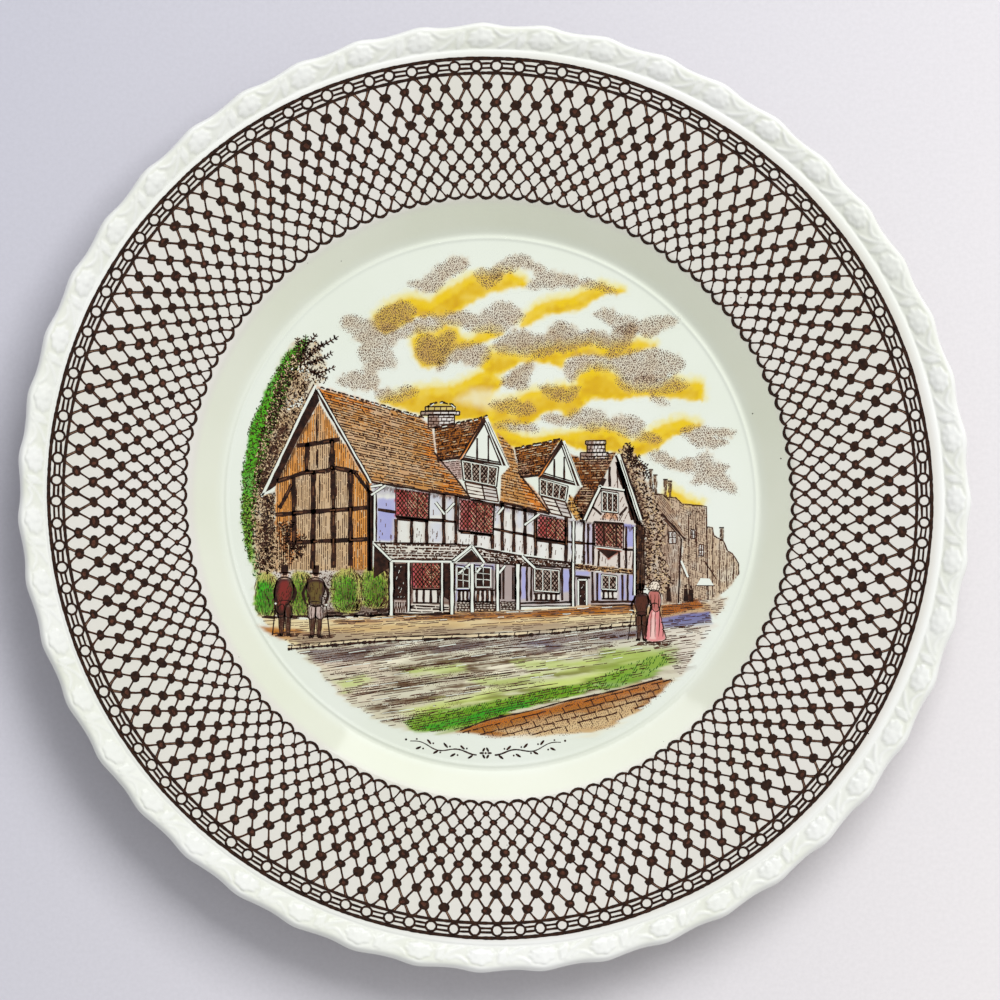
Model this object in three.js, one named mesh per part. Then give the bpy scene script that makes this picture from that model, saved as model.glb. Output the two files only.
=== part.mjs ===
// A round earthenware souvenir plate, lying face up on its foot ring.
//
// Frame: millimetres, +Z up. The origin is the centre of the foot ring's flat face, so z = 0 is the
// surface that the plate stands on. Everything is turned about +Z, and only the moulded edge, with its
// small repeated lobes, departs from a true circle.

import * as THREE from 'three';

// Driving dimensions.
const EDGE_RADIUS = 127;        // to the tip of a lobe: a 254 mm (10 inch) plate
const HEIGHT = 22;              // foot ring to the crest of the moulded edge
const WALL = 4.2;               // thickness of the rim and of the well's floor

// The well and the cavetto, the curved wall around it.
const WELL_RADIUS = 70;         // flat floor of the well
const WELL_FLOOR = 6.2;
const WELL_LINE_HEIGHT = 0.35;  // the thin raised ring where the floor ends
const WELL_LINE_WIDTH = 1.6;
const CAVETTO_RADIUS = 80.9;    // where the cavetto turns over into the rim
const CAVETTO_TOP = 12.95;
const CORNER = 1.2;             // half the width of the rounding at the cavetto's foot and top

// The rim and its moulded edge.
const RIM_RADIUS = 119.4;       // where the flat, sloping rim ends and the moulding begins
const RIM_TOP = 19.3;
const GROOVE_DEPTH = 0.3;
const CREST_RADIUS = 123.4;

// The foot ring.
const FOOT_INNER = 68.4;
const FOOT_OUTER = 72.6;
const FOOT_RECESS = 1.9;        // the underside of the well's floor, above the foot ring's face
const FOOT_FLARE = 1.2;         // how far the ring's two walls lean outwards from its face

// The lobes of the edge.
const LOBES = 47;
const LOBE_REACH = 0.7;         // how far the outline swings in and out of its mean circle
const LOBE_SWELL = 0.25;        // how far the crest rises and falls with it
const STEPS_PER_LOBE = 4;

const MEAN_EDGE = EDGE_RADIUS - LOBE_REACH;
const MEAN_CREST = HEIGHT - LOBE_SWELL;

// The half section, as [radius, height], from the middle of the underside out to the edge and back in
// over the upper side to the middle.
function underside() {
  return [
    [0, FOOT_RECESS],
    [FOOT_INNER - FOOT_FLARE, FOOT_RECESS],
    [FOOT_INNER, 0],
    [FOOT_OUTER, 0],
    [FOOT_OUTER + FOOT_FLARE, FOOT_RECESS],
    [CAVETTO_RADIUS - 3.4, CAVETTO_TOP - WALL - 3.5],
    [CAVETTO_RADIUS + 0.4, CAVETTO_TOP - WALL - 0.5],
    [CAVETTO_RADIUS + 5, CAVETTO_TOP - WALL + 0.7],
    [RIM_RADIUS, RIM_TOP - WALL],
    [RIM_RADIUS + 3.8, RIM_TOP - WALL + 1.3],
  ];
}

function edge() {
  return [
    [MEAN_EDGE - 0.5, MEAN_CREST - 4],
    [MEAN_EDGE, MEAN_CREST - 2.7],
    [MEAN_EDGE - 0.6, MEAN_CREST - 1.2],
    [CREST_RADIUS + 1.6, MEAN_CREST - 0.2],
    [CREST_RADIUS, MEAN_CREST],
    [CREST_RADIUS - 2.4, MEAN_CREST - 0.9],
    [RIM_RADIUS + 0.5, RIM_TOP - GROOVE_DEPTH],
  ];
}

function upperSide() {
  const lineMiddle = WELL_RADIUS + WELL_LINE_WIDTH / 2;
  const wallFoot = WELL_RADIUS + WELL_LINE_WIDTH + 0.3;
  return [
    [RIM_RADIUS, RIM_TOP],
    [CAVETTO_RADIUS + CORNER, CAVETTO_TOP + 0.2],
    [CAVETTO_RADIUS, CAVETTO_TOP - 0.2],
    [CAVETTO_RADIUS - CORNER, CAVETTO_TOP - 0.9],
    [wallFoot + CORNER, WELL_FLOOR + 0.9],
    [wallFoot, WELL_FLOOR + 0.25],
    [lineMiddle, WELL_FLOOR + WELL_LINE_HEIGHT],
    [WELL_RADIUS, WELL_FLOOR],
    [0, WELL_FLOOR],
  ];
}

// 0 on the rim, rising smoothly to 1 at the crest and beyond: how much of the lobes a point feels.
function lobeShare(radius) {
  return THREE.MathUtils.smoothstep(radius, RIM_RADIUS, CREST_RADIUS);
}

// Moves the points of the moulded edge in and out, and up and down, with the lobes.
function addLobes(geometry) {
  const position = geometry.attributes.position;
  for (let i = 0; i < position.count; i += 1) {
    const x = position.getX(i);
    const y = position.getY(i);
    const radius = Math.hypot(x, y);
    const share = lobeShare(radius);
    if (share === 0) continue;
    const wave = Math.cos(LOBES * Math.atan2(y, x));
    const grown = 1 + (share * LOBE_REACH * wave) / radius;
    position.setXYZ(i, x * grown, y * grown, position.getZ(i) + share * LOBE_SWELL * wave);
  }
  geometry.computeVertexNormals();
}

function plateGeometry() {
  const section = [...underside(), ...edge(), ...upperSide()];
  const points = section.map(([radius, height]) => new THREE.Vector2(radius, height));
  const geometry = new THREE.LatheGeometry(points, LOBES * STEPS_PER_LOBE);
  geometry.rotateX(Math.PI / 2);
  addLobes(geometry);
  return geometry;
}

const glazedEarthenware = new THREE.MeshStandardMaterial({
  color: 0xe8ece6,
  roughness: 0.12,
  metalness: 0,
});

const plate = new THREE.Mesh(plateGeometry(), glazedEarthenware);
plate.name = 'plate';

const part = new THREE.Group();
part.add(plate);

export default part;
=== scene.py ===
"""A round souvenir plate of glazed earthenware, face up on its foot ring.

A lattice is printed on its rim, and a hand-coloured street scene in its well.

The drawing code works in millimetres, with x to the right and y to the top of the picture, from the
middle of the plate. Every print is real geometry: flat marks laid over the face of the plate, a few
hundredths of a millimetre above each other, in the order in which they would be printed and painted.
"""

import math

import bpy
import numpy as np
from mathutils import Matrix, Vector


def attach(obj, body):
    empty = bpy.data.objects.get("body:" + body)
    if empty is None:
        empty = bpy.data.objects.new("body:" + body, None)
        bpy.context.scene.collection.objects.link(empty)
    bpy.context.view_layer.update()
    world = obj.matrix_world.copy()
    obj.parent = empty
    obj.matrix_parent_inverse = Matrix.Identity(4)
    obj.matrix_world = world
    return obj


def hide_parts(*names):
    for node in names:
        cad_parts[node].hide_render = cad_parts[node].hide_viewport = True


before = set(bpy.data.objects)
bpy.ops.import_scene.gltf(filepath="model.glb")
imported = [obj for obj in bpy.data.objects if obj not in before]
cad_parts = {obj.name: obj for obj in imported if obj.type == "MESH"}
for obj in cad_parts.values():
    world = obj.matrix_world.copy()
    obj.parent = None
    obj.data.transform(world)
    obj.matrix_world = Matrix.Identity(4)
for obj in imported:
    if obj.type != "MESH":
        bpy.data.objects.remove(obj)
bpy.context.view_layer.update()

MM = 0.001
BODY = "root"

# ---------------------------------------------------------------- sizes, in millimetres

cad_plate = np.array([v.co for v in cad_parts["plate"].data.vertices]) / MM
EDGE = float(np.hypot(cad_plate[:, 0], cad_plate[:, 1]).max())
LOBES = 47              # gentle waves around the moulded edge
LOBE_REACH = 0.45       # how far a wave swings out from the mean edge
MEAN_EDGE = EDGE - LOBE_REACH

FLOOR = 6.2             # the well's upper face
UNDER_FLOOR = 1.9       # the well's underside
WELL_LINE = 70.9        # the thin raised ring around the well
CAVETTO_FOOT = 71.9     # where the cavetto starts to rise
SHOULDER = 80.9         # where it turns over into the rim
CREST = 125.0           # the top of the moulded edge
SHOULDER_HEIGHT = 12.95
RIM_END = 119.4         # where the moulded edge begins
RIM_END_HEIGHT = 19.3
WELL_LINE_RISE, WELL_LINE_WIDTH = 0.3, 0.5
PROFILE_STEP = 0.1
CORNER_SPANS = (9, 13)  # steps over which the profile's corners are rounded, one pass after the other

PRINT_X, PRINT_Y = -1.08, -0.1  # the rim's print sits a little off the plate's centre
CELLS = 125                     # cells of the lattice, and beads, around the rim

random = np.random.default_rng(7)


# ---------------------------------------------------------------- numbers and curves

def smooth(low, high, value):
    """0 below low, 1 above high, and an S-curve between."""
    t = np.clip((value - low) / (high - low), 0, 1)
    return t * t * (3 - 2 * t)


def rounded_profile():
    """The upper face from the middle to the moulded edge: straight stretches with rounded corners."""
    margin = 10
    radii = np.arange(-margin, EDGE + margin, PROFILE_STEP)
    corners = [(0, FLOOR), (CAVETTO_FOOT, FLOOR), (SHOULDER, SHOULDER_HEIGHT), (RIM_END, RIM_END_HEIGHT)]
    slope = (RIM_END_HEIGHT - SHOULDER_HEIGHT) / (RIM_END - SHOULDER)
    corners.append((EDGE + margin, RIM_END_HEIGHT + slope * (EDGE + margin - RIM_END)))
    heights = np.interp(radii, *np.transpose(corners))
    for span in CORNER_SPANS:
        heights = np.convolve(np.pad(heights, span // 2, "edge"), np.ones(span) / span, "valid")
    heights += WELL_LINE_RISE * np.exp(-(((radii - WELL_LINE) / WELL_LINE_WIDTH) ** 2))
    return radii, heights


PROFILE = rounded_profile()


def face_height(radius):
    """Height of the plate's upper face at a radius, from the middle to where the moulded edge begins."""
    return np.interp(np.asarray(radius, float), *PROFILE)


def curve_through(points, steps, closed=False):
    """A smooth (Catmull-Rom) curve through the points, with the given steps between two of them."""
    knots = np.asarray(points, float)
    if closed:
        ends = (knots[-1:], knots[:1], knots[1:2])
    else:
        ends = (2 * knots[:1] - knots[1:2], 2 * knots[-1:] - knots[-2:-1], np.empty((0, 2)))
    knots = np.concatenate([ends[0], knots, ends[1], ends[2]])
    t = np.linspace(0, 1, steps, endpoint=False)[:, None]
    spans = []
    for a, b, c, d in zip(knots, knots[1:], knots[2:], knots[3:]):
        bend, twist = 2 * a - 5 * b + 4 * c - d, 3 * b - a - 3 * c + d
        spans.append(0.5 * (2 * b + (c - a) * t + bend * t**2 + twist * t**3))
    if not closed:
        spans.append(knots[-2:-1])
    return np.concatenate(spans)


def mottle(x, y, size, seed):
    """Smooth noise from -1 to 1, with blotches of about the given size."""
    cells = 64
    values = np.random.default_rng(seed).uniform(-1, 1, (cells, cells))
    u, v = np.asarray(x) / size + 1000.0, np.asarray(y) / size + 1000.0
    i, j = np.floor(u).astype(int), np.floor(v).astype(int)
    fu, fv = smooth(0, 1, u - i), smooth(0, 1, v - j)
    i0, i1, j0, j1 = i % cells, (i + 1) % cells, j % cells, (j + 1) % cells
    low = values[i0, j0] * (1 - fu) + values[i1, j0] * fu
    high = values[i0, j1] * (1 - fu) + values[i1, j1] * fu
    return low * (1 - fv) + high * fv


def inside_distance(x, y, outline):
    """Distance to a closed outline, positive inside it."""
    corners = np.asarray(outline, float)
    nearest = np.full(np.shape(x), 1e9)
    inside = np.zeros(np.shape(x), bool)
    for (ax, ay), (bx, by) in zip(corners, np.roll(corners, -1, 0)):
        dx, dy = bx - ax, by - ay
        t = np.clip(((x - ax) * dx + (y - ay) * dy) / (dx * dx + dy * dy + 1e-12), 0, 1)
        nearest = np.minimum(nearest, np.hypot(x - ax - t * dx, y - ay - t * dy))
        if dy != 0:
            crosses = ((ay > y) != (by > y)) & (x < dx * (y - ay) / dy + ax)
            inside ^= crosses
    return np.where(inside, nearest, -nearest)


# ---------------------------------------------------------------- printed marks

class Print:
    """Flat marks gathered for one piece of the decoration."""

    def __init__(self, offset=(0.0, 0.0)):
        self.points, self.faces, self.count = [], [], 0
        self.offset = offset

    def add(self, points, faces):
        points = np.asarray(points, float)
        self.points.append(points)
        self.faces.extend([tuple(i + self.count for i in f) for f in faces])
        self.count += len(points)

    def shape(self, outline):
        """A filled shape. Its points are put in anticlockwise order, so that it faces up."""
        corners = np.asarray(outline, float)
        x, y = corners[:, 0], corners[:, 1]
        if np.sum(x * np.roll(y, -1) - np.roll(x, -1) * y) < 0:
            corners = corners[::-1]
        self.add(corners, [tuple(range(len(corners)))])

    def stroke(self, line, width, closed=False, taper=0.0, rough=0.0):
        """A line of one width, or a width for each point. taper thins its ends, rough makes it uneven."""
        middle = np.asarray(line, float)
        count = len(middle)
        if closed:
            along = np.roll(middle, -1, 0) - np.roll(middle, 1, 0)
        else:
            along = np.gradient(middle, axis=0)
        along /= np.linalg.norm(along, axis=1)[:, None] + 1e-12
        across = np.stack([-along[:, 1], along[:, 0]], 1)
        half = np.broadcast_to(np.asarray(width) / 2.0, count).copy()
        if taper and not closed:
            t = np.linspace(0, 1, count)
            half *= 1 - taper * np.abs(2 * t - 1) ** 2
        if rough:
            half *= 1 + rough * random.uniform(-1, 1, count)
        left, right = middle + across * half[:, None], middle - across * half[:, None]
        points = np.empty((2 * count, 2))
        points[0::2], points[1::2] = right, left
        last = count if closed else count - 1
        faces = []
        for i in range(last):
            a, b = 2 * i, 2 * ((i + 1) % count)
            faces.append((a, b, b + 1, a + 1))
        self.add(points, faces)

    def line(self, ax, ay, bx, by, width, parts=3, sway=0.0, rough=0.15, taper=0.0):
        """A straight stroke drawn by hand, which wanders by up to sway."""
        t = np.linspace(0, 1, parts + 1)[:, None]
        points = np.array([ax, ay]) * (1 - t) + np.array([bx, by]) * t
        if sway:
            points = points + random.uniform(-sway, sway, points.shape)
        self.stroke(points, width, rough=rough, taper=taper)

    def spot(self, x, y, across, along=None, turn=0.0, sides=6, rough=0.0):
        """A round or oval dot."""
        along = across if along is None else along
        angle = np.linspace(0, 2 * math.pi, sides, endpoint=False)
        grow = 1 + rough * random.uniform(-1, 1, sides)
        u, v = across / 2 * np.cos(angle) * grow, along / 2 * np.sin(angle) * grow
        c, s = math.cos(turn), math.sin(turn)
        self.add(np.stack([x + u * c - v * s, y + u * s + v * c], 1), [tuple(range(sides))])

    def leave_out(self, covers):
        """Drops the marks whose middle lies under one of the covers, or close to its edge."""
        if not self.faces:
            return
        points = np.concatenate(self.points)
        middle = np.array([points[list(face)].mean(0) for face in self.faces])
        hidden = np.zeros(len(middle), bool)
        for cover in covers:
            hidden |= inside_distance(middle[:, 0], middle[:, 1], cover) > -0.05
        self.faces = [face for face, out in zip(self.faces, hidden) if not out]


def make_mesh(name, points, faces, material):
    """A smooth mesh object from points in millimetres, riding on the plate."""
    mesh = bpy.data.meshes.new(name)
    mesh.from_pydata((np.asarray(points) * MM).tolist(), [], faces)
    mesh.materials.append(material)
    mesh.polygons.foreach_set("use_smooth", [True] * len(mesh.polygons))
    piece = bpy.data.objects.new(name, mesh)
    bpy.context.scene.collection.objects.link(piece)
    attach(piece, BODY)
    return piece


MAP_MARGIN = 0.01


def flat_map(mesh):
    """A map seen straight from above, so that the print keeps its place and sharpness on it."""
    co = np.empty(len(mesh.vertices) * 3, np.float32)
    mesh.vertices.foreach_get("co", co)
    co = co.reshape(-1, 3)[:, :2]
    low, size = co.min(0), np.ptp(co, axis=0).max()
    corner = np.empty(len(mesh.loops), np.int32)
    mesh.loops.foreach_get("vertex_index", corner)
    uv = MAP_MARGIN + (1 - 2 * MAP_MARGIN) * (co[corner] - low) / size
    layer = mesh.uv_layers.new(name="OFBake")
    layer.data.foreach_set("uv", uv.astype(np.float32).ravel())


def lay_down(print_, name, material, lift):
    """Lays a print on the face of the plate, lift millimetres above the glaze."""
    xy = np.concatenate(print_.points) + np.array(print_.offset)
    used = np.unique([corner for face in print_.faces for corner in face])
    index = np.zeros(len(xy), int)
    index[used] = np.arange(len(used))
    index = index.tolist()
    faces = [[index[corner] for corner in face] for face in print_.faces]
    z = face_height(np.hypot(xy[:, 0], xy[:, 1])) + lift
    piece = make_mesh(name, np.column_stack([xy, z])[used], faces, material)
    flat_map(piece.data)
    return piece


# ---------------------------------------------------------------- materials

def srgb(red, green, blue):
    """A colour given as it looks on a screen, 0 to 255, as the linear colour that a shader takes."""
    c = np.array([red, green, blue]) / 255.0
    return tuple(np.where(c <= 0.04045, c / 12.92, ((c + 0.055) / 1.055) ** 2.4))


class Nodes:
    """Short forms for building a material's nodes."""

    def __init__(self, name):
        self.material = bpy.data.materials.new(name)
        self.material.use_nodes = True
        self.tree = self.material.node_tree
        self.shader = self.tree.nodes["Principled BSDF"]

    def node(self, kind, **values):
        made = self.tree.nodes.new(kind)
        for key, value in values.items():
            setattr(made, key, value)
        return made

    def link(self, source, target):
        self.tree.links.new(source, target)

    def place(self):
        return self.node("ShaderNodeTexCoord").outputs["Object"]

    def noise(self, scale, detail):
        made = self.node("ShaderNodeTexNoise")
        made.inputs["Scale"].default_value = scale
        made.inputs["Detail"].default_value = detail
        self.link(self.place(), made.inputs["Vector"])
        return made.outputs["Fac"]

    def ramp(self, source, stops):
        made = self.node("ShaderNodeValToRGB")
        while len(made.color_ramp.elements) < len(stops):
            made.color_ramp.elements.new(0.5)
        for element, (position, colour) in zip(made.color_ramp.elements, stops):
            element.position = position
            element.color = (*colour, 1)
        self.link(source, made.inputs["Fac"])
        return made.outputs["Color"]

    def mix(self, kind, factor, a, b):
        made = self.node("ShaderNodeMix", data_type="RGBA", blend_type=kind)
        if isinstance(factor, float):
            made.inputs[0].default_value = factor
        else:
            self.link(factor, made.inputs[0])
        for source, target in ((a, made.inputs[6]), (b, made.inputs[7])):
            if isinstance(source, tuple):
                target.default_value = (*source, 1)
            else:
                self.link(source, target)
        return made.outputs[2]

    def math(self, kind, a, b):
        made = self.node("ShaderNodeMath", operation=kind)
        for source, target in ((a, made.inputs[0]), (b, made.inputs[1])):
            if isinstance(source, (int, float)):
                target.default_value = source
            else:
                self.link(source, target)
        return made.outputs[0]

    def bump(self, height, distance, strength):
        made = self.node("ShaderNodeBump")
        made.inputs["Distance"].default_value = distance
        made.inputs["Strength"].default_value = strength
        self.link(height, made.inputs["Height"])
        self.link(made.outputs["Normal"], self.shader.inputs["Normal"])


GLAZE_ROUGHNESS = 0.09
GLAZE_IOR = 1.5
GLAZE_SHINE, INK_SHINE = 0.5, 0.24  # how much a surface reflects: the ink lies deeper, and looks duller
ORANGE_PEEL = 0.00006               # metres: the faint waves in a glaze
ORANGE_PEEL_SCALE, ORANGE_PEEL_STRENGTH = 160, 0.35
CLOUD_SCALE = 28                    # of the faint clouds in the white
INK_BLOTCH = 900                    # scale of the thick and thin places in the ink
WELL_WHITE = (233, 238, 227)
WHITES = (WELL_WHITE, (230, 233, 216), (227, 224, 216), (246, 247, 243))    # well, cavetto, rim and edge
POOLED_GLAZE = (214, 218, 190)
# Where each white gives way to the next, as shares of the plate's radius
CAVETTO_START, RIM_START, EDGE_START = (0.555, 0.585), (0.622, 0.637), (0.925, 0.940)


def glaze_colour(look):
    """The white of the body seen through the glaze: cool in the well, a breath of lavender on the rim."""
    radius = look.node("ShaderNodeVectorMath", operation="LENGTH")
    flat = look.node("ShaderNodeVectorMath", operation="MULTIPLY")
    flat.inputs[1].default_value = (1, 1, 0)
    look.link(look.place(), flat.inputs[0])
    look.link(flat.outputs[0], radius.inputs[0])
    share = look.math("DIVIDE", radius.outputs["Value"], EDGE * MM)
    places = [0.0, *CAVETTO_START, *RIM_START, *EDGE_START, 1.0]
    whites = np.repeat([srgb(*white) for white in WHITES], 2, axis=0)
    ground = look.ramp(share, list(zip(places, whites)))
    clouds = look.noise(CLOUD_SCALE, 3)
    cloudy = look.ramp(clouds, [(0.35, srgb(250, 251, 247)), (0.65, srgb(255, 255, 255))])
    return look.mix("MULTIPLY", 1.0, ground, cloudy)


def glossy(look, shine=GLAZE_SHINE):
    look.shader.inputs["Roughness"].default_value = GLAZE_ROUGHNESS
    look.shader.inputs["IOR"].default_value = GLAZE_IOR
    look.shader.inputs["Specular IOR Level"].default_value = shine
    look.bump(look.noise(ORANGE_PEEL_SCALE, 1), ORANGE_PEEL, ORANGE_PEEL_STRENGTH)


def glaze_material():
    """Clear glaze over white earthenware, pooled cream and green in the hollows of the moulded edge."""
    look = Nodes("clear_glaze")
    hollow = look.node("ShaderNodeAttribute", attribute_name="hollow").outputs["Fac"]
    pooled = look.mix("MIX", hollow, glaze_colour(look), srgb(*POOLED_GLAZE))
    look.link(pooled, look.shader.inputs["Base Color"])
    glossy(look)
    return look.material


def wash_material(name):
    """Colour painted over the glaze's white by hand."""
    look = Nodes(name)
    paint = look.node("ShaderNodeAttribute", attribute_name="paint").outputs["Color"]
    look.link(look.mix("MULTIPLY", 1.0, glaze_colour(look), paint), look.shader.inputs["Base Color"])
    glossy(look)
    return look.material


def ink_material(name, dark, light):
    """Printing ink under the glaze, darker where it lies thick."""
    look = Nodes(name)
    colour = look.ramp(look.noise(INK_BLOTCH, 2), [(0.38, srgb(*dark)), (0.68, srgb(*light))])
    look.link(colour, look.shader.inputs["Base Color"])
    glossy(look, INK_SHINE)
    return look.material


CLEAR_GLAZE = glaze_material()
RIM_INK = ink_material("rim_ink", (34, 18, 10), (58, 34, 20))
RIM_FINE_INK = ink_material("rim_fine_ink", (44, 24, 15), (74, 44, 30))
RIM_PALE_INK = ink_material("rim_pale_ink", (112, 80, 60), (160, 130, 106))
RUST_INK = ink_material("rust_ink", (66, 36, 24), (98, 58, 42))

# ---------------------------------------------------------------- the plate itself

COARSE = LOBES * 9      # steps around the plain parts
FINE = 4                # the moulded edge has this many times more
LOBE_PITCH = 2 * math.pi * 123 / LOBES
PATTERN_FOOT = 118.0    # the pattern's own outward measure starts at this radius
DOMES = [               # of one lobe: middle, half length, half width, turn, height and ruffles
    ((0, 4.5), 3.8, 2.3, 0.1, 0.58, 8),         # the shell
    ((0.5, 4.2), 1.5, 0.9, 0.3, 0.22, 0),       # the boss on the shell
    ((-5.6, 4.4), 2.5, 1.15, 1.15, 0.5, 4),     # the leaf
]
RIDGES = [              # of one lobe: points, height and width
    ([(-6.3, 2.6), (-4.9, 6.2)], -0.16, 0.22),                                  # the leaf's vein
    ([(0.4, 3.5), (1.2, 2.8), (2.3, 2.7), (3.0, 3.5), (2.2, 3.9)], 0.22, 0.3),  # the curl of the shell
    ([(3.7, 6.4), (5.4, 5.6), (7.0, 5.4), (8.6, 6.2)], 0.42, 0.5),              # the ribbons
    ([(5.0, 2.4), (7.0, 3.4), (8.8, 4.9), (10.6, 6.6)], 0.45, 0.45),
    ([(-2.6, 5.6), (0, 6.0), (2.6, 5.6)], 0.1, 0.3),                            # the shell's lip
]
MOULDING_HEIGHT, MOULDING_PUSH = 0.8, 0.12      # how much of the pattern stands up, and out
HOLLOW_GLAZE = 0.42     # how strongly the glaze pools in the hollows
SECOND_WAVE = 0.12      # a faint finer wave on the lobes


def ridge(a, b, line, height, width):
    """A soft raised line on the moulding, a along the edge and b outwards."""
    nearest = np.full(a.shape, 1e9)
    for (ax, ay), (bx, by) in zip(line, line[1:]):
        dx, dy = bx - ax, by - ay
        t = np.clip(((a - ax) * dx + (b - ay) * dy) / (dx * dx + dy * dy), 0, 1)
        nearest = np.minimum(nearest, np.hypot(a - ax - t * dx, b - ay - t * dy))
    return height * np.exp(-((nearest / width) ** 2))


def dome(a, b, middle, half_a, half_b, turn, height, ruffles):
    """A soft oval swelling, with a crease around its foot. Ruffles part it like the ribs of a shell."""
    c, s = math.cos(turn), math.sin(turn)
    u = ((a - middle[0]) * c + (b - middle[1]) * s) / half_a
    v = (-(a - middle[0]) * s + (b - middle[1]) * c) / half_b
    rho = np.hypot(u, v)
    if ruffles:
        ribs = np.cos(ruffles * np.arctan2(v, u)) * smooth(0.15, 0.8, rho)
        rho = rho * (1 - 0.06 * ribs)
        height = height * (1 + 0.22 * ribs)
    crease = 0.16 * np.exp(-(((rho - 1.08) / 0.14) ** 2))
    return height * np.sqrt(np.clip(1 - rho**3, 0, 1)) - crease


def moulding(angle, radius):
    """How far the pattern stands out of the edge: one shell, one leaf and crossed ribbons a lobe."""
    phase = (angle * LOBES / (2 * math.pi) + 0.5) % 1 - 0.5
    b = radius - PATTERN_FOOT
    total = np.zeros(np.broadcast(phase, b).shape)
    for turn in (-1, 0, 1):
        a = -(phase + turn) * LOBE_PITCH
        for swelling in DOMES:
            total += dome(a, b, *swelling)
        for line in RIDGES:
            total += ridge(a, b, *line)
    fade = smooth(1.7, 2.4, b) * (1 - smooth(7.2, 8.2, b))
    return total * fade


def edge_section():
    """The moulded edge's section, from the rim over the crest to the underside, as radius and height."""
    knots = [
        (RIM_END, RIM_END_HEIGHT), (119.9, 19.12), (120.6, 19.45), (122.0, 20.25), (123.8, 21.0),
        (CREST, 21.5), (125.9, 21.2),
        (MEAN_EDGE, 20.1), (MEAN_EDGE - 0.15, 18.9), (MEAN_EDGE - 1.1, 17.7), (124.0, 17.0),
    ]
    return curve_through(knots, 4)[1:]


def underside_section():
    """The underside's section, from the edge in to the middle, with its foot ring."""
    rim = [(121.0, 16.2), (118.0, 15.4), (110.0, 14.3), (98.0, 12.7), (88.0, 11.3), (84.0, 10.5)]
    cavetto = [(81.4, 9.2), (79.4, 7.2), (77.4, 5.0), (75.2, 3.0), (74.0, UNDER_FLOOR)]
    foot_ring = [(73.2, 0.9), (72.7, 0.25), (72.3, 0.0), (68.7, 0.0), (68.3, 0.25), (67.8, 1.0),
                 (67.1, 1.7)]
    middle = [(66.2, UNDER_FLOOR), (60.0, UNDER_FLOOR), (30.0, UNDER_FLOOR)]
    return np.array(rim + cavetto + foot_ring + middle)


def upper_radii():
    """Radii of the upper face's rings, close together where it bends."""
    well = [20, 40, 58, 66]
    well_line = np.arange(69.2, 73.6, 0.2)
    cavetto = np.arange(74, SHOULDER - 1.2, 1.0)
    shoulder = np.arange(SHOULDER - 1.2, SHOULDER + 1.2, 0.3)
    rim = np.arange(SHOULDER + 2, RIM_END - 0.5, 3.2)
    return np.concatenate([well, well_line, cavetto, shoulder, rim, [RIM_END - 0.2]])


def ring_points(radii, heights, steps, lobed):
    """Rings of points. lobed rings swing with the lobes and carry the moulding."""
    angle = np.arange(steps) * 2 * math.pi / steps
    radius, theta = np.meshgrid(radii, angle, indexing="ij")
    height = np.repeat(np.asarray(heights, float)[:, None], steps, 1)
    hollow = np.zeros(radius.shape)
    if lobed:
        share = smooth(RIM_END, CREST, radius)
        wave = np.cos(LOBES * theta) + SECOND_WAVE * np.cos(2 * LOBES * theta + 0.6)
        upper = np.arange(len(radii))[:, None] <= int(np.argmax(radii))
        relief = np.where(upper, moulding(theta, radius), 0)
        relief = relief * (1 + 0.25 * mottle(theta * 40, radius, 2.0, 3))
        height = height + relief * MOULDING_HEIGHT + share * 0.25 * wave
        radius = radius + share * LOBE_REACH * wave / (1 + SECOND_WAVE) + relief * MOULDING_PUSH
        band = smooth(119.6, 120.6, radius) * (1 - smooth(CREST, CREST + 1, radius))
        hollow = np.where(upper, band * (1 - smooth(0.0, 0.5, relief)) * HOLLOW_GLAZE, 0)
        patchy = 0.55 + 0.45 * mottle(theta * 30, radius * 0.3, 2.0, 5)
        hollow = hollow * patchy
    points = np.stack([radius * np.cos(theta), radius * np.sin(theta), height], 2)
    return points, hollow


def plate_body():
    """One closed skin: the upper face, the finely moulded edge and the underside."""
    radii = upper_radii()
    edge = edge_section()
    under = underside_section()
    parts = [
        (radii, face_height(radii), COARSE, False),
        (edge[:, 0], edge[:, 1], COARSE * FINE, True),
        (under[:, 0], under[:, 1], COARSE, False),
    ]
    points, hollow, rings = [np.array([[0, 0, FLOOR]])], [np.zeros(1)], []
    count = 1
    for r, z, steps, lobed in parts:
        block, depth = ring_points(r, z, steps, lobed)
        points.append(block.reshape(-1, 3))
        hollow.append(depth.reshape(-1))
        for k in range(len(r)):
            rings.append((count + k * steps, steps))
        count += len(r) * steps
    points.append(np.array([[0, 0, under[-1][1]]]))
    hollow.append(np.zeros(1))
    faces = [(0, rings[0][0] + i, rings[0][0] + (i + 1) % COARSE) for i in range(COARSE)]
    for (a, n), (b, m) in zip(rings, rings[1:]):
        faces += stitch(a, n, b, m)
    last = rings[-1][0]
    faces += [(count, last + (i + 1) % COARSE, last + i) for i in range(COARSE)]
    piece = make_mesh("plate_body", np.concatenate(points), faces, CLEAR_GLAZE)
    layer = piece.data.attributes.new("hollow", "FLOAT", "POINT")
    layer.data.foreach_set("value", np.concatenate(hollow).astype(np.float32))
    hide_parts("plate")
    return piece


def stitch(a, n, b, m):
    """Faces between ring a of n points and the next ring b of m points, one a multiple of the other."""
    if m >= n:
        k = m // n
        return [(a + i, *[b + (k * i + j) % m for j in range(k + 1)], a + (i + 1) % n) for i in range(n)]
    k = n // m
    return [(b + i, b + (i + 1) % m, *[a + (k * i + j) % n for j in range(k, -1, -1)]) for i in range(m)]


plate_body()


# ---------------------------------------------------------------- the print on the rim

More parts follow.
